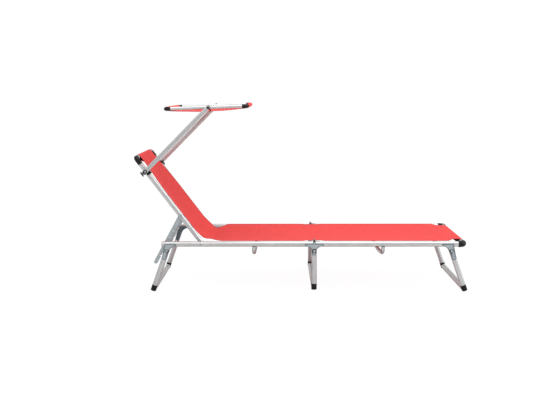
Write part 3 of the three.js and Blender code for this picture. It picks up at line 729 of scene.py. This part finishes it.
def bow_pieces():
    """Bowed braces, swept along a curve with the frame node's width and depth."""
    rail_axis, drop, shoulder = 0.0138, 0.036, 0.052
    for node, body in BOWS:
        low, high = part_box(node)
        radius = (high.x - low.x) / 2
        x = (low.x + high.x) / 2
        half = high.y - radius
        top = high.z
        base = low.z + radius
        axis = top + rail_axis
        curve = bpy.data.curves.new(node + "_line", "CURVE")
        curve.dimensions = "3D"
        curve.bevel_depth = radius
        curve.bevel_resolution = 6
        curve.use_fill_caps = True
        curve.resolution_u = 14
        spline = curve.splines.new("BEZIER")
        spline.bezier_points.add(4)
        # Each row is a point and its two handles, as (across, height)
        bend = (-half + shoulder, axis - shoulder)
        right = [
            ((-half, top), (-half, axis), (-half, axis - drop)),
            (bend, (-half + 0.018, axis - 0.049), (-half + 0.12, axis - 0.062)),
        ]
        left = [tuple((-y, z) for y, z in (place, after, before)) for place, before, after in reversed(right)]
        rows = [*right, ((0.0, base), (-0.1, base), (0.1, base)), *left]
        for point, (place, before, after) in zip(spline.bezier_points, rows):
            point.co = (x, *place)
            point.handle_left = (x, *before)
            point.handle_right = (x, *after)
        line = bpy.data.objects.new(node + "_line", curve)
        bpy.context.scene.collection.objects.link(line)
        bpy.context.view_layer.update()
        mesh = bpy.data.meshes.new_from_object(line.evaluated_get(bpy.context.evaluated_depsgraph_get()))
        bpy.data.objects.remove(line)
        bm = bmesh.new()
        bm.from_mesh(mesh)
        bpy.data.meshes.remove(mesh)
        close_shell(bm)
        lay_out(bm, lambda co: co.xy)
        add_piece(node + "_bent", bm, ALUMINIUM, body, node)


def elbow_pieces():
    """The black elbows of the foot end, the legs, the backrest and the canopy."""
    size = sizes()
    up = back_direction()
    front = canopy_direction()
    end = middle_of("foot_end_bar")
    top = middle_of("backrest_top_bar")
    for side, outward in SIDES.items():
        radius = 0.016
        ribs = elbow_ribs(radius, (0.0175, 0.0220), (0.0175,))
        corner = joined(elbow_shape(radius, tube_arm=0.026, bar_arm=0.022, bend=0.0175), *ribs)
        place = stood((end.x, middle_of(f"foot_rail_{side}").y, end.z), (-1, 0, 0), -outward)
        node = f"foot_corner_elbow_{side}"
        fit_piece(f"foot_end_corner_{side}", corner, place, PLASTIC, "foot_frame", node)
        for leg in LEGS:
            node = f"{leg}_leg_foot_{side}"
            pivot = places[f"{leg}_leg_fold"]
            bar = middle_of(f"{leg}_leg_crossbar")
            y = middle_of(f"{leg}_leg_tube_{side}").y
            place = stood((bar.x, y, bar.z), pivot - bar, -outward)
            foot = moved(foot_shape(size.rail_radius + 0.0005), place)
            cut_level(foot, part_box(node)[0].z)
            fit_piece(f"{leg}_foot_cap_{side}", foot, Matrix(), PLASTIC, f"{leg}_leg", node)
        corner = elbow_shape(size.back_radius + 0.0005, tube_arm=0.037, bar_arm=0.022, bend=0.0165)
        place = stood((top.x, middle_of(f"backrest_tube_{side}").y, top.z), -up, -outward)
        fit_piece(f"backrest_corner_{side}", corner, place, PLASTIC, "backrest", f"backrest_elbow_{side}")
        for where, direction in (("rear", front), ("front", -front)):
            node = f"canopy_elbow_{where}_{side}"
            bar = middle_of(f"canopy_{where}_tube")
            corner = elbow_shape(size.canopy_radius + 0.001, tube_arm=0.024, bar_arm=0.020, bend=0.0125)
            place = stood((bar.x, canopy_side_y(side, outward), bar.z), direction, -outward)
            fit_piece(f"canopy_corner_{where}_{side}", corner, place, PLASTIC, "canopy", node)


def elbow_ribs(radius, on_tube, on_bar):
    """Raised rings round an elbow's two arms, at distances from its corner."""
    base, crest = radius - 0.0006, radius + 0.0007
    ribs = []
    for distances, turn in ((on_tube, Matrix()), (on_bar, Z_TO_Y)):
        for distance in distances:
            profile = [
                (base, distance - 0.0012),
                (crest, distance - 0.0007),
                (crest, distance + 0.0007),
                (base, distance + 0.0012),
            ]
            ribs.append(moved(spun(profile, closed=True, steps=32), turn))
    return ribs


def foot_shape(radius):
    """A moulded foot: a flat-ended round cap along +Z below a leg, with an arm along +Y for the crossbar."""
    ease, low, high, rim = 0.0022, -0.0115, 0.019, 0.0006
    profile = [
        (0.0, low),
        (radius - ease, low),
        (radius - ease * 0.3, low + ease * 0.3),
        (radius, low + ease),
        (radius, 0.0184),
        (radius - rim, high),
        (0.0, high),
    ]
    arm = moved(pin_shape(radius - 0.0004, 0.0, high, ease=rim, steps=36), Z_TO_Y)
    return joined(spun(profile, steps=36), arm, *elbow_ribs(radius, (0.0155,), ()))


def cut_level(bm, level):
    """Cut away what lies below a level and close the cuts."""
    geometry = bm.verts[:] + bm.edges[:] + bm.faces[:]
    cut = bmesh.ops.bisect_plane(
        bm, geom=geometry, plane_co=(0, 0, level), plane_no=(0, 0, 1), clear_inner=True
    )["geom_cut"]
    bmesh.ops.holes_fill(bm, edges=edges_of(cut), sides=0)


def bracket_pieces():
    """Stamped brackets with eased edges and a domed rivet head over each leg's pivot."""
    below_pillow, rivet_depth = 0.002, 0.0016
    for kind, body, leg in (
        ("mid_bracket", "head_frame", "mid"),
        ("head_leg_bracket", "head_frame", "head"),
        ("foot_leg_bracket", "foot_frame", "foot"),
    ):
        pivot = places[f"{leg}_leg_fold"]
        for side, outward in SIDES.items():
            node = f"{kind}_{side}"
            outer = face_of(node, outward)
            stamped = refined_copy(node)
            raise_faces(stamped, outward, outer - outward * below_pillow)
            head = dome_shape(0.0072, 0.0026)
            head = facing_out(head, pivot.x, outer - outward * rivet_depth, pivot.z, outward)
            stamped_piece(f"{node}_stamped", joined(stamped, head), body, node)


def fastener_pieces():
    """The recline bolts, the hinge pin heads, the braces' rivets, and the plugs in the rails' head ends."""
    size = sizes()
    recline = places["backrest_recline"]
    hinge = places["frame_fold"]
    x, z = recline.x, recline.z
    head_height = 0.0038
    plug_profile = [
        (0.0, -0.0008),
        (0.0115, -0.0008),
        (0.0132, 0.0),
        (0.0132, 0.0012),
        (0.0120, 0.0012),
        (0.0120, 0.012),
        (0.0, 0.012),
    ]
    for side, outward in SIDES.items():
        node = f"backrest_pivot_bolt_{side}"
        outer = face_of(node, outward)
        inner = face_of(node, -outward)
        rail = middle_of(f"head_rail_{side}").y
        back = middle_of(f"backrest_tube_{side}").y
        head = facing_out(dome_shape(0.007, head_height), x, outer - outward * head_height, z, outward)
        shank = facing_out(pin_shape(0.004, 0.0, abs(outer - inner) - 0.004), x, inner, z, outward)
        gap = abs(rail - back) - size.rail_radius - size.back_radius - 0.0006
        spacer_y = back + outward * (size.back_radius + TOUCH_GAP)
        spacer = facing_out(pin_shape(0.008, 0.0, gap), x, spacer_y, z, outward)
        nut = facing_out(nut_shape(0.0055, 0.0004), x, inner + outward * 0.0029, z, outward)
        add_piece(f"recline_bolt_{side}", joined(head, shank, spacer, nut), STEEL, "head_frame", node)
        plate = face_of(f"mid_bracket_{side}", outward) - outward * 0.002
        cap = facing_out(dome_shape(0.0046, 0.0020), hinge.x, plate, hinge.z, outward)
        add_piece(f"hinge_pin_cap_{side}", cap, PLASTIC, "head_frame")
        rail_face = rail + outward * (size.rail_radius - TOUCH_GAP)
        for bow, body in BOWS:
            rivet = facing_out(dome_shape(0.0042, 0.0016), middle_of(bow).x, rail_face, z, outward)
            add_piece(f"{bow}_rivet_{side}", rivet, STEEL, body)
        rail_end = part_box(f"head_rail_{side}")[0].x
        plug = moved(spun(plug_profile), pointed((rail_end, rail, z), (1, 0, 0)))
        add_piece(f"rail_end_plug_{side}", plug, PLASTIC, "head_frame")


def strut_pieces():
    for side in SIDES:
        node = f"support_strut_{side}"
        stamped_piece(f"{node}_stamped", refined_copy(node), f"strut_{side}", node)


def clamp_pieces():
    """Moulded clamps on the backrest tubes, with their hand screws behind."""
    centre = places["canopy_arm_swing"]
    up = back_direction()
    bore, outer, half_height = sizes().back_radius + 0.0002, 0.0152, 0.0085
    waist = outer - 0.0010
    upper = [(waist, 0.0038), (outer, 0.0048), (outer, 0.0073)]
    upper += [(outer - 0.0012, half_height), (bore, half_height)]
    ring_profile = [(radius, -height) for radius, height in reversed(upper)] + upper
    boss_profile = [(0.0, 0.013), (0.010, 0.013), (0.010, 0.0195), (0.0088, 0.0207), (0.0, 0.0207)]
    neck_profile = [
        (0.0028, 0.0115),
        (0.0068, 0.0115),
        (0.0058, 0.0150),
        (0.0058, 0.0172),
        (0.0052, 0.0178),
        (0.0028, 0.0178),
    ]
    jaw_place = Matrix.Translation((0.0065, 0.0050, -0.0120))
    rib_place = Matrix.Translation((-0.0165, 0, 0))
    nut_place = Matrix.Translation((-0.0195, 0, 0))
    handle_place = Matrix.Translation((-0.0213, 0, 0))
    for side, outward in SIDES.items():
        y = middle_of(f"backrest_tube_{side}").y
        place = stood((centre.x, y, centre.z), up, outward)
        body = joined(
            spun(ring_profile, closed=True),
            moved(spun(boss_profile), Z_TO_Y),
            moved(pin_shape(0.004, 0.0190, 0.0320), Z_TO_Y),
            moved(pin_shape(0.0100, 0.0313, 0.0328, 0.0004), Z_TO_Y),
            moved(block_shape((0.024, 0.016, 0.024), 0.0022), jaw_place),
            moved(spun(neck_profile, closed=True), Z_TO_BACK),
            moved(block_shape((0.007, 0.006, 0.015), 0.0012), rib_place),
        )
        fit_piece(f"clamp_body_{side}", body, place, PLASTIC, "backrest", f"canopy_clamp_{side}")
        rivet = moved(dome_shape(0.0048, 0.0020), Matrix.Translation((0, 0, 0.0327)), Z_TO_Y)
        fit_piece(f"clamp_rivet_{side}", rivet, place, STEEL, "backrest")
        nut = nut_shape(0.0030, 0.0003)
        fit_piece(f"clamp_nut_{side}", nut, place @ nut_place @ Z_TO_BACK, STEEL, "backrest")
        handle = hand_screw_shape(
            screw=0.0025, shank=0.0103, hub=0.0065, height=0.009, reach=0.014, bar=0.0034
        )
        turned = place @ handle_place @ Z_TO_BACK
        fit_piece(f"clamp_handle_{side}", handle, turned, PLASTIC, f"knob_{side}", f"clamp_knob_{side}")


def hand_screw_shape(screw, shank, hub, height, reach, bar):
    """A T-handled screw along Z: a ringed shank, a stepped hub and a round cross handle."""
    turns = 7
    ringed = shank - 0.001
    thread = [(0.0, -shank)]
    for i in range(turns):
        low = -shank + 0.0005 + i * ringed / turns
        step = ringed / turns
        thread += [(screw * 0.84, low), (screw, low + step * 0.5)]
    thread += [(screw, 0.0), (0.0, 0.0)]
    neck = hub * 0.86
    hub_profile = [(0.0, 0.0), (hub, 0.0), (hub, 0.0015), (neck, 0.003)]
    hub_profile += [(neck, height - 0.0012), (hub * 0.7, height), (0.0, height)]
    tip = bar * 0.6
    grip_profile = [(0.0, -reach), (tip, -reach + 0.0006), (bar, -reach + 0.0024), (bar * 0.82, 0.0)]
    grip_profile += [(bar, reach - 0.0024), (tip, reach - 0.0006), (0.0, reach)]
    across = Matrix.Translation((0, 0, height - bar)) @ Matrix.Rotation(RIGHT_ANGLE, 4, "Y")
    return joined(spun(thread, steps=24), spun(hub_profile), moved(spun(grip_profile, steps=24), across))


def arm_pieces():
    """Flat-oval arms with plugged ends, and the wing levers at their upper pivots."""
    start = places["canopy_arm_swing"]
    tilt = places["canopy_tilt"]
    up = (tilt - start).normalized()
    length = (tilt - start).length
    width, wall, past_pivot = 0.022, 0.0014, 0.011
    plugs = (
        ("lower", -0.0108, (0.0233, 0.0104, 0.0068)),
        ("upper", length + 0.0098, (0.0205, 0.0084, 0.0040)),
    )
    for side, outward in SIDES.items():
        low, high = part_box(f"canopy_arm_{side}")
        y = (low.y + high.y) / 2
        place = stood((start.x, y, start.z), up, outward)
        arm = oval_tube_shape(width, high.y - low.y, wall, length + width)
        arm_place = place @ Matrix.Translation((0, 0, -past_pivot))
        fit_piece(f"canopy_arm_oval_{side}", arm, arm_place, ALUMINIUM, "canopy_arms", f"canopy_arm_{side}")
        for name, end, size in plugs:
            plug = block_shape(size, 0.0032, 4)
            plug_place = place @ Matrix.Translation((0, 0, end))
            fit_piece(f"{name}_arm_plug_{side}", plug, plug_place, PLASTIC, "canopy_arms")
        seat = outward * (high.y - y + TOUCH_GAP)
        turned = Matrix((up.cross(Vector((0, 1, 0))) * -1, up, (0, outward, 0))).transposed().to_4x4()
        lever_place = Matrix.Translation((tilt.x, y + seat, tilt.z)) @ turned
        name, body, node = f"canopy_lever_wing_{side}", f"lever_{side}", f"canopy_lever_{side}"
        fit_piece(name, lever_shape(), lever_place, PLASTIC, body, node)


def oval_tube_shape(width, thickness, wall, length):
    """A flat-oval tube along +Z, rounded where it is narrow, with lengths round and along it as UV."""
    bm = bmesh.new()
    outer = bmesh.ops.create_circle(bm, cap_ends=False, segments=32, radius=thickness / 2)["verts"]
    inner = bmesh.ops.create_circle(bm, cap_ends=False, segments=32, radius=thickness / 2 - wall)["verts"]
    straight = (width - thickness) / 2
    for vert in outer + inner:
        vert.co.x += straight if vert.co.x > 1e-6 else -straight if vert.co.x < -1e-6 else 0.0
    rings = bmesh.ops.bridge_loops(bm, edges=bm.edges[:])["faces"]
    grown = bmesh.ops.extrude_face_region(bm, geom=rings)["geom"]
    bmesh.ops.translate(bm, verts=verts_of(grown), vec=(0, 0, length))
    turn_outwards(bm)
    lay_out(bm, lambda co: co.xz)
    return bm


def lever_shape():
    """A wing lever: a hub on the screw's axis and one tapered wing along +X."""
    screw, hub, top = 0.003, 0.006, 0.007
    profile = [(0.0, -0.006), (screw, -0.006), (screw, 0.0), (hub, 0.0)]
    profile += [(hub, 0.0058), (0.0052, top), (0.0, top)]
    wing = bmesh.new()
    wing_place = Matrix.Translation((0.011, 0, 0.0048)) @ Matrix.Diagonal((0.022, 0.008, 0.0045, 1))
    bmesh.ops.create_cube(wing, size=1.0, matrix=wing_place)
    for vert in wing.verts:
        if vert.co.x > 0.02:
            vert.co.y *= 0.7
    return joined(spun(profile), eased(wing, wing.edges[:], 0.0014, 4))


# Cloth


class ClothLine:
    """The line that a cloth follows in the XZ plane, sampled by its own length."""

    def __init__(self, points):
        self.points = [Vector(p) for p in points]
        self.at = [0.0]
        for a, b in zip(self.points, self.points[1:]):
            self.at.append(self.at[-1] + (b - a).length)
        self.length = self.at[-1]

    def place(self, distance):
        """The point and the upper normal at a distance along the line."""
        distance = min(max(distance, 0.0), self.length)
        low = min(bisect.bisect_right(self.at, distance) - 1, len(self.at) - 2)
        a, b = self.points[low], self.points[low + 1]
        share = (distance - self.at[low]) / max(self.at[low + 1] - self.at[low], 1e-9)
        along = (b - a).normalized()
        return a.lerp(b, share), Vector((-along.y, along.x))

    def nearest(self, point):
        """The distance along the line of its sampled point nearest to a point."""
        return min(zip(self.points, self.at), key=lambda pair: (pair[0] - Vector(point)).length)[1]


def arc_points(centre, radius, start, end, count):
    """Points on an arc in the XZ plane, angles in radians from +X towards +Z."""
    return [
        (centre[0] + radius * math.cos(a), centre[1] + radius * math.sin(a))
        for a in (start + (end - start) * i / count for i in range(count + 1))
    ]


def smooth(value, low, high):
    """A soft step from 0 to 1 between two values."""
    share = min(max((value - low) / (high - low), 0.0), 1.0)
    return share * share * (3 - 2 * share)


def cloth_piece(name, line, half_width, sag, across, along, laid_from=0.0):
    """A cloth over a line, with its flat place and its distance to the side edge as UV."""
    bm = bmesh.new()
    bmesh.ops.create_grid(bm, x_segments=across, y_segments=along, size=1.0)
    flat = bm.loops.layers.uv.new("flat")
    edge = bm.loops.layers.uv.new("edge")
    for face in bm.faces:
        for loop in face.loops:
            co = loop.vert.co
            distance = (co.y + 1) / 2 * line.length
            width = half_width(distance)
            loop[flat].uv = (co.x * width, laid_from + distance)
            loop[edge].uv = ((1 - abs(co.x)) * width, laid_from + distance)
    for vert in bm.verts:
        distance = (vert.co.y + 1) / 2 * line.length
        width = half_width(distance)
        point, normal = line.place(distance)
        point = point + normal * sag(vert.co.x, distance)
        vert.co = (point.x, vert.co.x * width, point.y)
    turn_outwards(bm)
    if sum(face.normal.z for face in bm.faces) < 0:
        bmesh.ops.reverse_faces(bm, faces=bm.faces)
    return add_piece(name, bm, FABRIC, None)


def thicken(piece):
    """Give a cloth its thickness, centred on its line."""
    solid = piece.modifiers.new("cloth_thickness", "SOLIDIFY")
    solid.thickness = sizes().cloth_thickness
    solid.offset = 0.0
    piece.modifiers.new("flat_faces_lead", "WEIGHTED_NORMAL")


def cloth_lift():
    """How far the middle of a cloth lies above the tube that carries it."""
    return sizes().cloth_thickness / 2 + 0.0004


def tail_height(radius):
    """How far from a bar's centre a sleeve's sewn end lies, just inside the cloth that leaves the bar."""
    return radius - sizes().cloth_thickness * 1.3


def back_point(forward, along):
    """A point of the backrest in the XZ plane: forward of the tubes' plane, along from the pivot."""
    pivot = places["backrest_recline"]
    up = back_direction()
    front = Vector((up.z, 0, -up.x))
    point = pivot + up * along + front * forward
    return Vector((point.x, point.z))


def sleeve_angle(radius, tail):
    """The angle at which a cloth round a bar leaves it for a tail point, seen from the bar's centre."""
    distance = math.hypot(*tail)
    return math.atan2(tail[1], tail[0]) % FULL_TURN - math.acos(radius / distance)


def back_and_seat_line(divide):
    """From the sleeve round the top bar, down the backrest, round the fold and along the seat."""
    size = sizes()
    radius = size.back_radius + cloth_lift()
    tail = (tail_height(radius), -0.036)
    leave = sleeve_angle(radius, tail)
    wrap = arc_points((0.0, 0.0), radius, leave, 0.0, 22)
    points = [back_point(x, size.back_length + z) for x, z in (tail, *wrap)]
    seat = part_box("head_rail_right")[1].z + cloth_lift()
    up = back_direction()
    lean = math.atan2(-up.x, up.z)
    turn = RIGHT_ANGLE - lean
    foot = back_point(radius, 0.0)
    to_seat = (foot.y - seat) / up.z
    corner = foot - Vector((up.x, up.z)) * to_seat
    run = size.fold_radius * math.tan(turn / 2)
    centre = (corner.x + run, seat + size.fold_radius)
    points += arc_points(centre, size.fold_radius, math.pi + lean, math.pi * 1.5, 24)
    points.append((divide, seat))
    return ClothLine(points), corner


def seat_and_foot_line(divide):
    """From the middle of the seat over the hinge to the sleeve round the end bar."""
    radius = sizes().rail_radius + cloth_lift()
    bar = middle_of("foot_end_bar")
    tail = (-0.040, tail_height(radius))
    points = [(divide, bar.z + radius)]
    leave = RIGHT_ANGLE - sleeve_angle(radius, (tail[1], tail[0]))
    points += arc_points((bar.x, bar.z), radius, RIGHT_ANGLE, leave, 22)
    points.append((bar.x + tail[0], bar.z + tail[1]))
    return ClothLine(points)


def bed_cloth_pieces():
    """One cloth over backrest, seat and foot half, as two lengths that meet on the seat."""
    size = sizes()
    hinge = places["frame_fold"]
    recline = places["backrest_recline"]
    divide = hinge.x - 0.30
    line, corner = back_and_seat_line(divide)
    fold = line.nearest(corner)
    rail_width = abs(middle_of("head_rail_right").y) - 0.009
    tube_width = abs(middle_of("backrest_tube_right").y) - 0.006
    up = back_direction()
    # How far the side edge is drawn in at the two bars, beside the fold and over the hinge
    bar_draw, fold_draw, hinge_draw = 0.052, 0.067, 0.016
    fold_dip, ripple_height = 0.0098, 0.0008

    def head_place(distance):
        point, _ = line.place(distance)
        along = (point - Vector((recline.x, recline.z))).dot(Vector((up.x, up.z)))
        return point, along

    def head_width(distance):
        """As wide as the tubes, drawn in at the top bar and beside the fold, then as wide as the rails."""
        past = distance - fold
        onto_rails = smooth(past, 0.027, 0.103)
        width = tube_width - bar_draw * smooth(head_place(distance)[1], 0.290, 0.560)
        width -= fold_draw * smooth(past, -0.010, 0.041) * (1 - onto_rails)
        return width + (rail_width - tube_width) * onto_rails

    def head_sag(across, distance):
        """Level round the sleeve, hung between the tubes, dipped beside the fold and faintly rippled."""
        if distance < 0.10:
            return 0.0
        point, along = head_place(distance)
        level = 1 - across * across
        back = size.back_sag * smooth(size.back_length - along, 0.03, 0.16)
        share = smooth(point.x, corner.x - 0.02, corner.x + 0.12)
        past = distance - fold
        dip = fold_dip * smooth(past, -0.043, 0.031) * (1 - smooth(past, 0.031, 0.104))
        calm = smooth(divide - point.x, 0.0, 0.12)
        ripple = ripple_height * math.sin(distance * 39 + across * 2.1) * level * calm
        return -(back * (1 - share) + size.seat_sag * share) * level - dip + ripple

    head = cloth_piece("backrest_and_seat_cloth", line, head_width, head_sag, 56, 130)
    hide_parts("backrest_sling", "seat_sling")
    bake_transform(head)
    foot_line = seat_and_foot_line(divide)
    bar = middle_of("foot_end_bar")
    flat_run = bar.x - divide

    def foot_width(distance):
        """As wide as the rails, drawn in over the hinge and at the end bar."""
        x = divide + min(distance, flat_run)
        width = rail_width - hinge_draw * (1 - smooth(abs(x - hinge.x), 0.030, 0.062))
        return width - bar_draw * smooth(x, bar.x - 0.080, bar.x - 0.036)

    def foot_sag(across, distance):
        """Hung between the rails and faintly rippled, level round the sleeve."""
        if distance > flat_run:
            return 0.0
        level = 1 - across * across
        x = divide + distance
        share = smooth(bar.x - x, 0.02, 0.20)
        calm = share * smooth(distance, 0.0, 0.12)
        ripple = ripple_height * math.sin(distance * 37 + across * 1.7) * level * calm
        return -size.seat_sag * level * share + ripple

    foot = cloth_piece("seat_and_foot_cloth", foot_line, foot_width, foot_sag, 56, 150, line.length)
    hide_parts("foot_sling")
    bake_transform(foot)
    for piece, whole, nodes in (
        (head, line, ["backrest_tube_right", "head_rail_right"]),
        (foot, foot_line, ["foot_rail_right", "foot_end_bar"]),
    ):
        thicken(piece)


def canopy_cloth_pieces():
    """The canopy's cloth, sleeved round both cross tubes and hanging between them."""
    size = sizes()
    radius = size.canopy_radius + cloth_lift()
    rear = middle_of("canopy_rear_tube")
    along = canopy_direction()
    rise = Vector((-along.z, 0, along.x))
    span = (middle_of("canopy_front_tube") - rear).length

    def place(x, z):
        point = rear + along * x + rise * z
        return (point.x, point.z)

    tail = (0.030, -tail_height(radius))
    leave = math.atan2(tail[1], tail[0]) + math.acos(radius / math.hypot(*tail))
    wrap = arc_points((0.0, 0.0), radius, leave, math.pi * 1.5, 18)
    points = [place(*tail)]
    points += [place(*p) for p in wrap]
    points += [place(span - x, z) for x, z in reversed(wrap)]
    points.append(place(span - tail[0], tail[1]))
    line = ClothLine(points)
    sleeve = (line.length - span) / 2
    inside_tube, sleeve_draw, ripple_height = 0.0125, 0.0125, 0.0006
    half = abs(middle_of("canopy_side_tube_right").y) - inside_tube

    def width(distance):
        """As wide as the gap between the side tubes, and a little narrower round the cross tubes."""
        inward = min(distance, line.length - distance) - sleeve
        return half - sleeve_draw * (1 - smooth(inward, 0.004, 0.03))

    def sag(across, distance):
        """Hung as a shallow arc between the cross tubes, a little less at the side edges."""
        share = (distance - sleeve) / span
        if share <= 0 or share >= 1:
            return 0.0
        hang = 4 * share * (1 - share)
        edge = 1 - 0.10 * across * across
        ripple = ripple_height * math.sin(share * 19 + across * 3) * hang
        return -size.canopy_sag * hang * edge + ripple

    piece = cloth_piece("canopy_cloth", line, width, sag, 48, 120)
    thicken(piece)
    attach(piece, "canopy")
    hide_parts("canopy_fabric")


# Stage


def seen_directly(tree):
    """1 for a ray from the camera or through a surface, and 0 for the rest."""
    path = add_node(tree, "ShaderNodeLightPath").outputs
    rays = {0: path["Is Camera Ray"], 1: path["Is Transmission Ray"]}
    return add_node(tree, "ShaderNodeMath", links=rays, operation="MAXIMUM").outputs["Value"]


def stage_pieces():
    """Pale floor, soft light, a white surround and the camera at the photograph's angle."""
    floor_piece()
    surround()
    for name, place, target, size, power in (
        ("overhead_light", (0.45, -0.3, 4.0), (0.1, 0, 0.2), 4.4, 94),
        ("key_light", (-1.8, -3.0, 2.6), (0, 0, 0.4), 2.0, 16),
        ("fill_light", (5.5, -0.8, 3.0), (-0.4, 0, 0.5), 4.0, 112),
    ):
        lamp = bpy.data.lights.new(name, "AREA")
        lamp.shape = "SQUARE"
        lamp.size = size
        lamp.energy = power
        light = bpy.data.objects.new(name, lamp)
        bpy.context.scene.collection.objects.link(light)
        light.location = place
        light.rotation_euler = (Vector(target) - Vector(place)).to_track_quat("-Z", "Y").to_euler()
    photograph_camera()


def photograph_camera():
    """The camera as it was fitted to the photograph, with its focal length in the photograph's pixels."""
    scene = bpy.context.scene
    focal_pixels, picture_width, sensor_width = 825.5, 537, 36.0
    from_hinge, y, height = -0.1706, -4.403, 1.0228
    down, roll, turn = math.radians(7.985), math.radians(0.17), math.radians(0.82)
    lens = bpy.data.cameras.new("photograph_view")
    lens.sensor_width = sensor_width
    lens.lens = sensor_width * focal_pixels / picture_width
    camera = bpy.data.objects.new("photograph_view", lens)
    scene.collection.objects.link(camera)
    camera.location = (places["frame_fold"].x + from_hinge, y, height)
    camera.rotation_euler = (RIGHT_ANGLE - down, roll, turn)
    scene.camera = camera
    scene.view_settings.view_transform = "Standard"


def floor_piece():
    """A pale floor that the camera sees nearly white, with a tenth of its real shading and shadows."""
    scene = bpy.context.scene
    half_width, white_share = 14.0, 0.90
    bm = bmesh.new()
    bmesh.ops.create_grid(bm, x_segments=1, y_segments=1, size=half_width)
    mesh = bpy.data.meshes.new("studio_floor")
    bm.to_mesh(mesh)
    bm.free()
    floor = bpy.data.objects.new("studio_floor", mesh)
    scene.collection.objects.link(floor)
    colour = tuple(scene.lounger_colours.floor)
    constants = {"Base Color": colour, "Roughness": 0.9, "Specular IOR Level": 0.1}
    # A matt floor, mixed with a white glow for the rays that see it directly
    made, tree, shader = new_material("studio_floor", constants)
    glow = add_node(tree, "ShaderNodeEmission", {"Color": WHITE, "Strength": 1.07}).outputs["Emission"]
    seen = {0: seen_directly(tree)}
    share = add_node(tree, "ShaderNodeMath", {1: white_share}, seen, operation="MULTIPLY").outputs["Value"]
    layers = {"Fac": share, 1: shader.outputs["BSDF"], 2: glow}
    mixed = add_node(tree, "ShaderNodeMixShader", links=layers).outputs["Shader"]
    output = next(n for n in tree.nodes if n.bl_idname == "ShaderNodeOutputMaterial")
    tree.links.new(mixed, output.inputs["Surface"])
    mesh.materials.append(made)


def surround():
    """A surround that is white to the camera and gives soft light from all sides."""
    world = bpy.data.worlds.new("studio_surround")
    bpy.context.scene.world = world
    world.use_nodes = True
    tree = world.node_tree
    tree.nodes.clear()
    white = add_node(tree, "ShaderNodeBackground", {"Color": WHITE, "Strength": 1.0}).outputs["Background"]
    # Brighter above and behind than in front, as between a white backdrop and a darker room
    direction = add_node(tree, "ShaderNodeTexCoord").outputs["Generated"]
    apart = add_node(tree, "ShaderNodeSeparateXYZ", links={"Vector": direction}).outputs
    axes = {0: apart["Y"], 1: apart["Z"]}
    rising = {"Value": add_node(tree, "ShaderNodeMath", links=axes, operation="ADD").outputs["Value"]}
    limits = {"From Min": -0.8, "From Max": 0.6, "To Min": 0.46, "To Max": 0.74}
    graded = add_node(tree, "ShaderNodeMapRange", limits, rising, interpolation_type="SMOOTHSTEP")
    strength = {"Strength": graded.outputs["Result"]}
    soft = add_node(tree, "ShaderNodeBackground", {"Color": WHITE}, strength).outputs["Background"]
    layers = {"Fac": seen_directly(tree), 1: soft, 2: white}
    mixed = add_node(tree, "ShaderNodeMixShader", links=layers).outputs["Shader"]
    add_node(tree, "ShaderNodeOutputWorld", links={"Surface": mixed})


# Operators


class LOUNGER_OT_stage(bpy.types.Operator):
    """Set up the floor, the lights and the camera"""

    bl_idname = "lounger.stage"
    bl_label = "Stage"

    def execute(self, context):
        stage_pieces()
        return {"FINISHED"}


class LOUNGER_OT_frame_tubes(bpy.types.Operator):
    """Build the rails, legs, backrest tubes and braces"""

    bl_idname = "lounger.frame_tubes"
    bl_label = "Frame tubes"

    def execute(self, context):
        rail_pieces()
        leg_pieces()
        backrest_tube_pieces()
        bow_pieces()
        return {"FINISHED"}


class LOUNGER_OT_elbows(bpy.types.Operator):
    """Build the black elbows at every corner"""

    bl_idname = "lounger.elbows"
    bl_label = "Elbows"

    def execute(self, context):
        elbow_pieces()
        return {"FINISHED"}


class LOUNGER_OT_metalwork(bpy.types.Operator):
    """Build the brackets, hinge tabs, struts, bolts and rivets"""

    bl_idname = "lounger.metalwork"
    bl_label = "Brackets and fasteners"

    def execute(self, context):
        bracket_pieces()
        hinge_tab_pieces()
        strut_pieces()
        fastener_pieces()
        return {"FINISHED"}


class LOUNGER_OT_canopy_frame(bpy.types.Operator):
    """Build the canopy's tubes, arms, clamps and levers"""

    bl_idname = "lounger.canopy_frame"
    bl_label = "Canopy frame"

    def execute(self, context):
        canopy_tube_pieces()
        clamp_pieces()
        arm_pieces()
        return {"FINISHED"}


class LOUNGER_OT_cloth(bpy.types.Operator):
    """Build the cloth of the bed and of the canopy"""

    bl_idname = "lounger.cloth"
    bl_label = "Cloth"

    def execute(self, context):
        bed_cloth_pieces()
        canopy_cloth_pieces()
        return {"FINISHED"}


BUILD_STEPS = (
    LOUNGER_OT_stage,
    LOUNGER_OT_frame_tubes,
    LOUNGER_OT_elbows,
    LOUNGER_OT_metalwork,
    LOUNGER_OT_canopy_frame,
    LOUNGER_OT_cloth,
)


class LOUNGER_PT_panel(bpy.types.Panel):
    """Lists the steps that build the lounger"""

    bl_label = "Sun lounger"
    bl_idname = "LOUNGER_PT_panel"
    bl_space_type = "VIEW_3D"
    bl_region_type = "UI"
    bl_category = "Lounger"

    def draw(self, context):
        for step in BUILD_STEPS:
            self.layout.operator(step.bl_idname)


CLASSES = (LoungerSizes, LoungerColours, *BUILD_STEPS, LOUNGER_PT_panel)


def register():
    for cls in CLASSES:
        bpy.utils.register_class(cls)
    bpy.types.Scene.lounger_sizes = PointerProperty(type=LoungerSizes)
    bpy.types.Scene.lounger_colours = PointerProperty(type=LoungerColours)


def unregister():
    del bpy.types.Scene.lounger_colours
    del bpy.types.Scene.lounger_sizes
    for cls in reversed(CLASSES):
        bpy.utils.unregister_class(cls)


def main():
    register()
    bpy.ops.lounger.stage()
    bpy.ops.lounger.frame_tubes()
    bpy.ops.lounger.elbows()
    bpy.ops.lounger.metalwork()
    bpy.ops.lounger.canopy_frame()
    bpy.ops.lounger.cloth()


if __name__ == "__main__":
    main()
